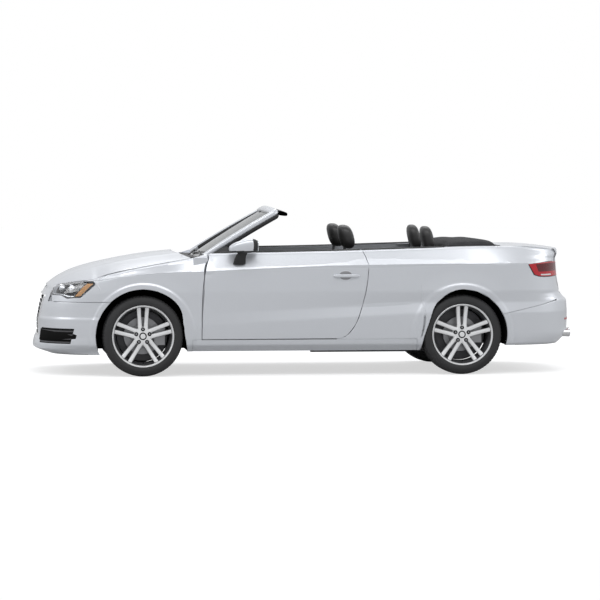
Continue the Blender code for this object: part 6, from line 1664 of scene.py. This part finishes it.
@dataclass(frozen=True)
class Trim:
    """Small outside pieces: handles, belt strips, cowl, wipers, grille, plates and tips."""

    def handle(self, side: Side, name: str) -> bpy.types.Object:
        """Door handle bar over a shallow dish; the dish's darker steel disc is painted shade of the
        recessed cup.
        """
        piece = Piece(name, (PAINT, STEEL), f"door_{side.word}")
        y, z = 0.292, 0.806
        x = float(SHAPE.side_width(y, z))
        bar = blob((x + 0.013, y, z), (0.0085, 0.108, 0.0125), 0.55, 20, 48)
        bar[..., 0] -= 0.010 * (np.abs(bar[..., 1] - y) / 0.108) ** 4
        piece.rings(bar, 0)
        for end_y in (y - 0.088, y + 0.088):
            piece.rings(blob((x + 0.001, end_y, z), (0.013, 0.016, 0.010), 0.6, 14, 28), 0)
        # Two flat discs stand for the cup behind the bar: a painted rim and, in front of it, a darker
        # steel disc that is painted shade of the cup.
        piece.rings(blob((x - 0.001, y - 0.006, z + 0.002), (0.0022, 0.054, 0.042), 0.9, 16, 48), 0)
        piece.rings(blob((x + 0.0004, y - 0.006, z + 0.004), (0.0024, 0.050, 0.036), 0.9, 16, 48), 1)
        return piece.build(side=side, smooth=50.0)

    def strip(self, side: Side, name: str, start: float, stop: float, body: str) -> None:
        """Black belt strip just inside the panel's top edge."""
        y = np.linspace(start, stop, 120)
        z = SHAPE.edge(y)
        x = SHAPE.side_width(y, z - 0.004) - 0.040
        angle = full_turn(16)
        ring = np.stack([x[:, None] + 0.012 * np.cos(angle), y[:, None] + 0 * angle,
                         z[:, None] + 0.004 + 0.007 * np.sin(angle)], axis=-1)
        Piece(name, (BLACK,), body).rings(capped(ring)).build(side=side, smooth=60.0)

    def door_trim(self, side: Side, name: str) -> bpy.types.Object:
        """Inner door panel with its armrest."""
        y = np.linspace(-0.800, 0.405, 90)[None, :]
        z = np.linspace(0.318, 0.985, 60)[:, None]
        top = 1 - smooth_step(0.93, 0.985, z)
        rest = 0.040 * np.exp(-((z - 0.66) / 0.035) ** 2) * smooth_step(-0.6, -0.4, y) * (
            1 - smooth_step(0.25, 0.36, y))
        pocket = 0.016 * np.exp(-((z - 0.42) / 0.05) ** 2) * smooth_step(-0.7, -0.5, y)
        x = 0.7500 - 0.004 * top - rest - pocket + 0.020 * (1 - top) + 0 * y
        piece = Piece(name, (LEATHER,), f"door_{side.word}")
        piece.grid(np.stack([x, y + 0 * z, z + 0 * y], axis=-1))
        return piece.build(0.003, 0.001, side=side)

    def cowl(self) -> None:
        """Cowl panel behind the hood and two wipers."""
        across = np.linspace(-1, 1, 81)[None, :]
        run = np.linspace(0, 1, 9)[:, None]
        x = across * 0.690
        front = -1.045 + 0.150 * (x / SHAPE.half_width) ** 2
        rear = -0.845 - 0.070 * (1 - across ** 2) + 0.004
        y = front + (rear - front) * run
        z = 0.948 - 0.006 * run + 0.003 * np.sin(run * 3 * math.pi) + 0 * across
        Piece("cowl", (BLACK,)).grid(np.stack([x + 0 * y, y, z], axis=-1)).build(0.004)
        glass = Windscreen()
        wipers = Piece("wipers", (BLACK,))
        for start, stop in ((-0.80, 0.02), (-0.02, 0.80)):
            a = np.linspace(start, stop, 24)
            b = 0.055 + 0.055 * np.sin(np.linspace(0, math.pi / 2, 24))
            base = glass.surface(a, b)
            wipers.tube(base + SCREEN_OUT * 0.0105, 0.0045, 10)
            arm = glass.surface(np.array([stop, stop * 0.85 + start * 0.15, (start + stop) / 2]),
                                np.array([0.0, 0.07, 0.10]))
            wipers.tube(rounded(arm + SCREEN_OUT * 0.019, 20), 0.0055, 10)
        wipers.build(smooth=60.0)

    def grille(self) -> None:
        """Grille: bright surround and level slats before a near-black back, which is black and painted
        shade of the opening's depth.
        """
        piece = Piece("grille_look", (GLOSS, BRIGHT, BLACK, BLACK_AND_PAINTED_SHADE))
        half = lambda z: 0.300 + 0.085 * (z - 0.315) / 0.330
        face = lambda x, z: -SHAPE.skin(End.FRONT, SHAPE.turn_at(End.FRONT, np.abs(x), z), z)[..., 1]
        for z in np.arange(0.338, 0.630, 0.0325):
            x = np.linspace(-1, 1, 61)[None, :] * (half(z) + 0.006)
            rise = np.array([0.0, 0.0075, 0.0075, 0.0])[:, None]
            inset = np.array([0.014, 0.016, 0.036, 0.036])[:, None]
            y = -face(x, np.full_like(x, z)) + inset
            ring = np.stack([x + 0 * rise, y, z + rise + 0 * x], axis=-1)
            piece.grid(ring, 0, loop=(True, False))
        # Near-black back sheet behind the slats: black, and painted shade of the grille opening's
        # depth.
        z = np.linspace(0.300, 0.660, 20)[:, None]
        x = np.linspace(-1, 1, 41)[None, :] * 0.398
        y = -face(x + 0 * z, z + 0 * x) + 0.046
        piece.grid(np.stack([x + 0 * z, y, z + 0 * x], axis=-1), 3)
        low, high = 0.3155, 0.6445
        corners = np.array([(-half(high), high), (half(high), high), (half(low), low),
                            (-half(low), low), (-half(high), high)])
        loop = along(corners, 241)[:-1]
        for _ in range(6):
            loop = (np.roll(loop, 1, axis=0) + 2 * loop + np.roll(loop, -1, axis=0)) / 4
        path = np.stack([loop[:, 0], -face(loop[:, 0], loop[:, 1]) + 0.001, loop[:, 1]], axis=-1)
        piece.tube(path + [0.0, 0.003, 0.0], 0.0075, 12, 1, closed=True)
        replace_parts(piece.build(smooth=50.0), "grille")
        plate = Piece("rear_plate", (PLATE, BLACK), "boot_lid")
        plate.box((-0.264, 2.1300, 0.702), (0.264, 2.1335, 0.818), 0)
        plate.box((-0.270, 2.1150, 0.696), (0.270, 2.1305, 0.824), 1)
        plate.build(edge=0.001)

    def splitter(self) -> None:
        """Black lower lip of the nose and the valance under the tail."""
        for end, low, name in ((End.FRONT, 0.1735, "splitter"), (End.REAR, 0.237, "valance")):
            start = float(SHAPE.turn(end, SHAPE.axle(end) + end.value * 0.440, low))
            turn = np.linspace(start, 1, 90)[None, :]
            z = np.full_like(turn, low)
            edge = SHAPE.skin(end, turn, z)
            inner = edge - np.stack([0.06 + 0 * turn, end.value * (0.06 + 0 * turn), 0 * turn], -1)
            proud = edge + np.array([0.002, end.value * 0.001, 0.008])
            drop = edge + np.array([0.001, 0.0, -0.0015])
            piece = Piece(name, (BLACK,))
            both_halves(piece, np.concatenate([proud, drop, inner]))
            piece.build(0.003, outward=UNDER_SCREEN)

    def tips(self) -> None:
        """Oval exhaust tip at the left, closed by a near-black plate over the pipe's end, painted shade
        of the pipe's inside.

        Formula: the profile's rings are circles stretched sideways by a fixed factor.
        """
        piece = Piece("exhaust_tip", (BRIGHT, BLACK_AND_PAINTED_SHADE))
        angle = full_turn(64)
        stretch, centre = 1.75, np.array([0.520, 0.0, 0.322])
        ring = lambda profile: np.stack([
            profile[:, 1:] * np.cos(angle) * stretch, profile[:, :1] + 0 * angle,
            profile[:, 1:] * np.sin(angle)], axis=-1) + centre
        shell = np.array([(2.090, 0.034), (2.190, 0.038), (2.1930, 0.0390), (2.1930, 0.0355),
                          (2.1880, 0.0345), (2.1880, 0.0320)])
        piece.rings(ring(shell), 0)
        # Near-black plate across the tip: painted shade of the pipe's inside.
        piece.rings(ring(np.array([(2.1875, 0.0345), (2.1875, 0.0)])), 1)
        piece.build(smooth=40.0)

    def build(self) -> None:
        """Make every trim piece."""
        pair(self.handle, "door_handle")
        pair(self.door_trim, "door_trim")
        for side in Side:
            self.strip(side, f"door_belt_{side.word}", -0.72, 0.408, f"door_{side.word}")
            self.strip(side, f"quarter_belt_{side.word}", 0.428, 1.10, "body")
        self.cowl()
        self.grille()
        self.splitter()
        self.tips()


CLOTH_FRAMES = 20


def puffed(thing: bpy.types.Object, cap: float, voxel: float = 0.006) -> None:
    """Let a padded piece swell under a little pressure, as cloth over a soft core.

    The mesh is remeshed to even cells, simulated for twenty frames without gravity, and each
    point's travel is capped; the result is baked into the mesh.

    Args:
        thing: the closed piece.
        cap: farthest that a point may move.
        voxel: size of the remeshed cells.
    """
    scene = bpy.context.scene
    remesh = thing.modifiers.new("cells", "REMESH")
    remesh.mode, remesh.voxel_size = "VOXEL", voxel
    graph = bpy.context.evaluated_depsgraph_get()
    even = bpy.data.meshes.new_from_object(thing.evaluated_get(graph))
    thing.modifiers.clear()
    old, thing.data = thing.data, even
    even.materials.clear()
    for material in old.materials:
        even.materials.append(material)
    even.shade_smooth()
    start = np.zeros(len(even.vertices) * 3)
    even.vertices.foreach_get("co", start)
    cloth = thing.modifiers.new("cloth", "CLOTH")
    settings = cloth.settings
    settings.quality, settings.mass = 3, 0.25
    settings.use_pressure, settings.uniform_pressure_force = True, 4.0
    settings.effector_weights.gravity = 0.0
    settings.tension_stiffness = settings.compression_stiffness = 12.0
    cloth.collision_settings.use_collision = False
    for frame in range(1, CLOTH_FRAMES + 1):
        scene.frame_set(frame)
    graph = bpy.context.evaluated_depsgraph_get()
    moved = bpy.data.meshes.new_from_object(thing.evaluated_get(graph))
    place = np.zeros(len(start))
    moved.vertices.foreach_get("co", place)
    travel = (place - start).reshape(-1, 3)
    size = np.linalg.norm(travel, axis=1, keepdims=True)
    travel = travel * np.minimum(1.0, cap / np.maximum(size, TINY))
    thing.modifiers.clear()
    even.vertices.foreach_set("co", (start.reshape(-1, 3) + travel).ravel())
    even.update()
    bpy.data.meshes.remove(moved)
    scene.frame_set(1)


@dataclass(frozen=True)
class Cabin:
    """Seats, rear bench, stowed top, steering wheel and dash details."""

    seat_x: float = 0.365
    lean: float = 17.0

    def seat_form(self, side: Side) -> bpy.types.Object:
        """Front seat: winged cushion, winged back and head restraint, closed and crowned."""
        x = self.seat_x
        piece = Piece(f"seat_{side.word}_look", (LEATHER,))
        base = blob((x, -0.055, 0.428), (0.236, 0.248, 0.068), 0.50, 36, 72)
        wing = 0.030 * (np.abs(base[..., 0] - x) / 0.236) ** 4 * (base[..., 2] > 0.42)
        nose = -0.020 * smooth_step(0.12, 0.30, -base[..., 1]) * (base[..., 2] < 0.42)
        base[..., 2] += wing - nose
        piece.rings(base)
        back = blob((x, 0.205, 0.690), (0.226, 0.060, 0.310), 0.55, 48, 72)
        taper = 1 - 0.24 * smooth_step(0.78, 1.00, back[..., 2])
        back[..., 0] = x + (back[..., 0] - x) * taper
        wing = -0.034 * (np.abs(back[..., 0] - x) / 0.226) ** 4 * (back[..., 1] < 0.205)
        back[..., 1] += wing
        piece.rings(leaned(back, (0.150, 0.42), self.lean - 4))
        head = blob((x, 0.352, 1.112), (0.120, 0.060, 0.098), 0.72, 28, 48)
        head[..., 1] += 0.012 * ((head[..., 0] - x) / 0.120) ** 2 - 0.25 * (head[..., 2] - 1.112)
        piece.rings(head)
        made = piece.build(side=side, smooth=60.0)
        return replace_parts(made, f"seat_{side.word}")

    def seat_seams(self, side: Side, name: str) -> bpy.types.Object:
        """Seat base, head restraint rods and the piping along its wings."""
        x = self.seat_x
        piece = Piece(name, (LEATHER, DARK_METAL, BLACK))
        for shift in (-0.045, 0.045):
            piece.tube([(x + shift, 0.322, 0.90), (x + shift, 0.352, 1.06)], 0.006, 12, 1)
        for shift in (-0.135, 0.135):
            y = np.linspace(-0.255, 0.120, 30)
            z = 0.4995 + 0.004 * np.cos((y + 0.07) * 8)
            piece.tube(np.stack([x + shift + 0 * y, y, z], -1), 0.0035, 8, 0)
        for row in np.linspace(-0.20, 0.06, 4):
            across = np.linspace(x - 0.135, x + 0.135, 16)
            piece.tube(np.stack([across, row + 0 * across, 0.4985 + 0 * across], -1), 0.0025, 8, 0)
        piece.box((x - 0.205, -0.240, 0.2320), (x + 0.205, 0.080, 0.372), 2)
        for shift in (-0.232, 0.218):
            piece.box((x + shift, -0.250, 0.300), (x + shift + 0.014, 0.130, 0.385), 2)
        return piece.build(side=side, edge=0.004, smooth=50.0)

    def bench(self) -> None:
        """Rear bench: two places, backs and head restraints."""
        piece = Piece("rear_seat_look", (LEATHER,))
        for x in (-0.286, 0.286):
            seat = blob((x, 0.715, 0.452), (0.262, 0.190, 0.056), 0.50, 30, 64)
            piece.rings(seat)
            back = blob((x, 0.962, 0.690), (0.262, 0.046, 0.262), 0.52, 40, 64)
            piece.rings(leaned(back, (0.960, 0.45), 7.0))
        for x in (-self.seat_x, self.seat_x):
            head = blob((x, 1.030, 1.092), (0.116, 0.050, 0.106), 0.72, 28, 48)
            head[..., 1] -= 0.20 * (head[..., 2] - 1.092)
            piece.rings(head)
        made = piece.build(smooth=60.0)
        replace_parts(made, "rear_seat")
        rods = Piece("rear_restraint_rods", (DARK_METAL,))
        for x in (-self.seat_x, self.seat_x):
            for shift in (-0.04, 0.04):
                rods.tube([(x + shift, 1.012, 0.900), (x + shift, 1.026, 1.040)], 0.006, 12)
        rods.box((-0.470, 0.640, 0.232), (-0.130, 0.900, 0.405))
        rods.box((0.130, 0.640, 0.232), (0.470, 0.900, 0.405))
        rods.build(edge=0.003, smooth=50.0)

    def top(self) -> None:
        """Stowed fabric top: a crowned pack with three soft folds across the car.

        Formula: closed loops round the pack, whose height follows a rounded arch with folds as
        a small wave, narrow towards the ends as a superellipse.
        """
        across = np.linspace(-1, 1, 121)[:, None]
        turn = full_turn(80)[None, :]
        size = (1 - np.abs(across) ** 6) ** (1 / 2.5)
        y = 1.358 + 0.222 * signed_power(np.cos(turn), 0.55)
        arch = signed_power(np.sin(turn), 0.60)
        folds = 0.0022 * np.sin((y - 1.10) * 42) * (arch > 0)
        middle = 1.022
        z = middle + np.where(arch > 0, 0.062, 0.050) * arch * size + folds * size
        half = 0.672 - 0.080 * smooth_step(1.20, 1.58, y)
        x = across * half
        piece = Piece("folded_top_look", (CLOTH,))
        piece.rings(np.stack([x, y + 0 * x, z], axis=-1))
        made = piece.build(smooth=60.0)
        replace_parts(made, "folded_top")
        puffed(made, 0.008)

    def wheel(self) -> None:
        """Steering wheel: rim, three spokes and a soft hub, raked with the column."""
        rake = math.radians(24)
        centre = np.array([0.365, -0.42, 0.80])
        piece = Piece("steering_wheel_look", (LEATHER, BRIGHT))
        tilt = lambda points: np.stack([
            points[..., 0], points[..., 1] * math.cos(rake) - points[..., 2] * math.sin(rake),
            points[..., 1] * math.sin(rake) + points[..., 2] * math.cos(rake)], -1) + centre
        angle = full_turn(96)
        ring = np.stack([0.171 * np.cos(angle), 0 * angle, 0.171 * np.sin(angle)], -1)
        piece.tube(tilt(ring), 0.0135, 18, 0, closed=True)
        hub = blob((0, -0.012, 0), (0.062, 0.026, 0.055), 0.7, 24, 48)
        piece.rings(tilt(hub), 0)
        for way in (0.0, math.pi, -math.pi / 2):
            run = np.linspace(0.02, 0.165, 12)
            path = np.stack([run * math.cos(way), -0.010 + 0 * run, run * math.sin(way)], -1)
            piece.tube(tilt(path), np.linspace(0.018, 0.011, 12), 14, 0)
        piece.tube(tilt(np.array([(0, -0.075, 0), (0, -0.02, 0)], float)), 0.040, 24, 0)
        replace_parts(piece.build(smooth=60.0), "steering_wheel")

    def dash(self) -> None:
        """Instrument hood, screen, vents, centre stack and inner mirror."""
        piece = Piece("dash_details", (BLACK, GLOSS, BRIGHT))
        piece.rings(blob((0.365, -0.630, 0.925), (0.170, 0.100, 0.052), 0.55, 24, 56), 0)
        piece.rings(blob((0.365, -0.566, 0.920), (0.148, 0.046, 0.036), 0.5, 20, 48), 1)
        piece.rings(blob((0.0, -0.552, 0.850), (0.105, 0.026, 0.062), 0.3, 20, 48), 0)
        piece.box((-0.085, -0.530, 0.818), (0.085, -0.524, 0.885), 1)
        for x in (-0.58, -0.16, 0.16, 0.60):
            piece.lathe([(-0.560, 0.0), (-0.560, 0.036), (-0.528, 0.036), (-0.524, 0.033),
                         (-0.524, 0.028), (-0.534, 0.026), (-0.534, 0.0)], (x, 0.0, 0.800), 1, 40, 0)
        piece.box((-0.090, -0.585, 0.560), (0.090, -0.512, 0.770), 0)
        for z in (0.620, 0.655):
            for x in (-0.05, 0.0, 0.05):
                piece.lathe([(-0.514, 0.0), (-0.514, 0.013), (-0.502, 0.012), (-0.502, 0.0)],
                            (x, 0.0, z), 1, 24, 2)
        mirror = blob((0.0, -0.352, 1.262), (0.112, 0.014, 0.030), 0.6, 20, 40)
        piece.rings(mirror, 0)
        piece.tube([(0.0, -0.345, 1.270), (0.0, -0.318, 1.318)], 0.008, 12, 0)
        piece.build(smooth=50.0, edge=0.002)
        board = Piece("rear_shelf", (CARPET,))
        board.box((-0.560, 1.075, 0.930), (0.560, 1.140, 0.962))
        board.build(edge=0.006)

    def build(self) -> None:
        """Make the cabin's pieces."""
        left = self.seat_form(Side.LEFT)
        right = self.seat_form(Side.RIGHT)
        puffed(left, 0.012)
        mirror = np.zeros(len(left.data.vertices) * 3)
        left.data.vertices.foreach_get("co", mirror)
        mesh = left.data.copy()
        mesh.vertices.foreach_set("co", (mirror.reshape(-1, 3) * [-1, 1, 1]).ravel())
        mesh.flip_normals()
        right.data = mesh
        pair(self.seat_seams, "seat_base")
        self.bench()
        self.top()
        self.wheel()
        self.dash()


@dataclass(frozen=True)
class AreaLight:
    """A soft rectangular light that points at a place."""

    place: tuple[float, float, float]
    aim: tuple[float, float, float]
    size: tuple[float, float]
    power: float

    def build(self, name: str) -> bpy.types.Object:
        """Make the light."""
        data = bpy.data.lights.new(name, "AREA")
        data.shape = "RECTANGLE"
        data.size, data.size_y = self.size
        data.energy = self.power
        lamp = bpy.data.objects.new(name, data)
        bpy.context.scene.collection.objects.link(lamp)
        lamp.location = self.place
        way = Vector(self.aim) - Vector(self.place)
        lamp.rotation_euler = way.to_track_quat("-Z", "Y").to_euler()
        return lamp


@dataclass
class Studio:
    """Pale floor, soft light and the camera at the picture's angle."""

    distance: float = 24.15
    turn: float = 83.65
    aim_height: float = 0.574
    eye_height: float = 1.63
    lens: float = 173.3
    sky: float = 0.78
    floor_lift: float = 0.62
    aim_y: float = 0.0135
    lights: tuple[AreaLight, ...] = (
        AreaLight((5.5, -0.5, 6.5), (0.0, 0.0, 0.8), (9.0, 2.6), 225.0),
        AreaLight((-4.0, 1.0, 6.0), (0.0, 0.0, 0.5), (7.0, 3.0), 150.0),
        AreaLight((1.5, -7.0, 3.6), (0.0, -1.5, 0.6), (4.0, 2.0), 70.0),
        AreaLight((1.0, 7.0, 3.4), (0.0, 1.6, 0.6), (4.0, 2.0), 60.0))

    def floor(self) -> None:
        """Large pale floor."""
        reach = 60.0
        points = np.array([[-reach, -reach, 0], [reach, -reach, 0], [reach, reach, 0],
                           [-reach, reach, 0]], float)
        mesh = bpy.data.meshes.new("floor")
        mesh.from_pydata(points.tolist(), [], [(0, 1, 2, 3)])
        ground = bpy.data.objects.new("floor", mesh)
        bpy.context.scene.collection.objects.link(ground)
        pale = Finish("floor", "black_plastic", (0.50, 0.50, 0.50), 0.0, 0.9, 0.0, Pattern.GRAIN,
                      0.05, 0.0, 0.01)
        material = pale.material()
        nodes, links = material.node_tree.nodes, material.node_tree.links
        seen = nodes.new("ShaderNodeLightPath")
        lift = nodes.new("ShaderNodeMath")
        lift.operation = "MULTIPLY"
        lift.inputs[1].default_value = self.floor_lift
        links.new(seen.outputs["Is Camera Ray"], lift.inputs[0])
        links.new(lift.outputs["Value"], nodes["Principled BSDF"].inputs["Emission Strength"])
        nodes["Principled BSDF"].inputs["Emission Color"].default_value = (1.0, 1.0, 1.0, 1.0)
        mesh.materials.append(material)

    def world(self) -> None:
        """Pale sky, dimmer towards the horizon for the car's reflections and white to the eye."""
        world = bpy.data.worlds.new("studio")
        bpy.context.scene.world = world
        world.use_nodes = True
        nodes, links = world.node_tree.nodes, world.node_tree.links
        place = nodes.new("ShaderNodeTexCoord")
        split = nodes.new("ShaderNodeSeparateXYZ")
        ramp = nodes.new("ShaderNodeValToRGB")
        links.new(place.outputs["Generated"], split.inputs["Vector"])
        links.new(split.outputs["Z"], ramp.inputs["Fac"])
        links.new(ramp.outputs["Color"], nodes["Background"].inputs["Color"])
        ramp.color_ramp.elements[0].position = 0.0
        ramp.color_ramp.elements[0].color = (0.80, 0.81, 0.82, 1.0)
        ramp.color_ramp.elements[1].position = 0.25
        ramp.color_ramp.elements[1].color = (0.92, 0.93, 0.95, 1.0)
        nodes["Background"].inputs["Strength"].default_value = self.sky
        seen = nodes.new("ShaderNodeLightPath")
        white = nodes.new("ShaderNodeBackground")
        mix = nodes.new("ShaderNodeMixShader")
        links.new(seen.outputs["Is Camera Ray"], mix.inputs["Fac"])
        links.new(nodes["Background"].outputs["Background"], mix.inputs[1])
        links.new(white.outputs["Background"], mix.inputs[2])
        links.new(mix.outputs["Shader"], nodes["World Output"].inputs["Surface"])
        white.inputs["Color"].default_value = (1.0, 1.0, 1.0, 1.0)

    def camera(self) -> None:
        """Long lens from the left side, a little ahead of square."""
        data = bpy.data.cameras.new("camera")
        data.lens, data.sensor_width = self.lens, 36.0
        data.clip_end = 200.0
        eye = bpy.data.objects.new("camera", data)
        bpy.context.scene.collection.objects.link(eye)
        angle = math.radians(self.turn)
        eye.location = (math.sin(angle) * self.distance, -math.cos(angle) * self.distance,
                        self.eye_height)
        way = Vector((0.0, self.aim_y, self.aim_height)) - eye.location
        eye.rotation_mode = "QUATERNION"
        eye.rotation_quaternion = way.to_track_quat("-Z", "Y")
        bpy.context.scene.camera = eye

    def build(self) -> None:
        """Make the floor, the sky, the lights and the camera."""
        self.floor()
        self.world()
        for index, light in enumerate(self.lights):
            light.build(f"light_{index}")
        self.camera()
        bpy.context.scene.view_settings.view_transform = "Standard"


def dress_nodes(nodes: dict) -> None:
    """Give every CAD node that still shows its finish."""
    table = {
        PAINT: ("hood", "boot_lid", "door_left", "door_right", "fender_left", "fender_right",
                "quarter_left", "quarter_right", "sill_left", "sill_right", "front_bumper",
                "rear_bumper"),
        STEEL: ("knuckle_left", "knuckle_right", "front_axle", "rear_axle", "exhaust", "engine")}
    for name, node in nodes.items():
        chosen = [finish for finish, names in table.items() if name in names]
        node.data.materials.clear()
        node.data.materials.append((chosen[0] if chosen else BLACK).material())


def main() -> None:
    """Build every piece in order, log each maker's name and finish the scene."""
    logging.basicConfig(level=logging.INFO, format="%(message)s")
    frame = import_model()
    dress_nodes(frame["nodes"])
    for maker in (BodyPanels(), Bumpers(), Lids(), Wheels(), Lamps(), Windscreen(), Mirrors(),
                  Arches(), Trim(), Cabin(), Studio()):
        maker.build()
        LOG.info("built %s", type(maker).__name__)


if __name__ == "__main__":
    main()
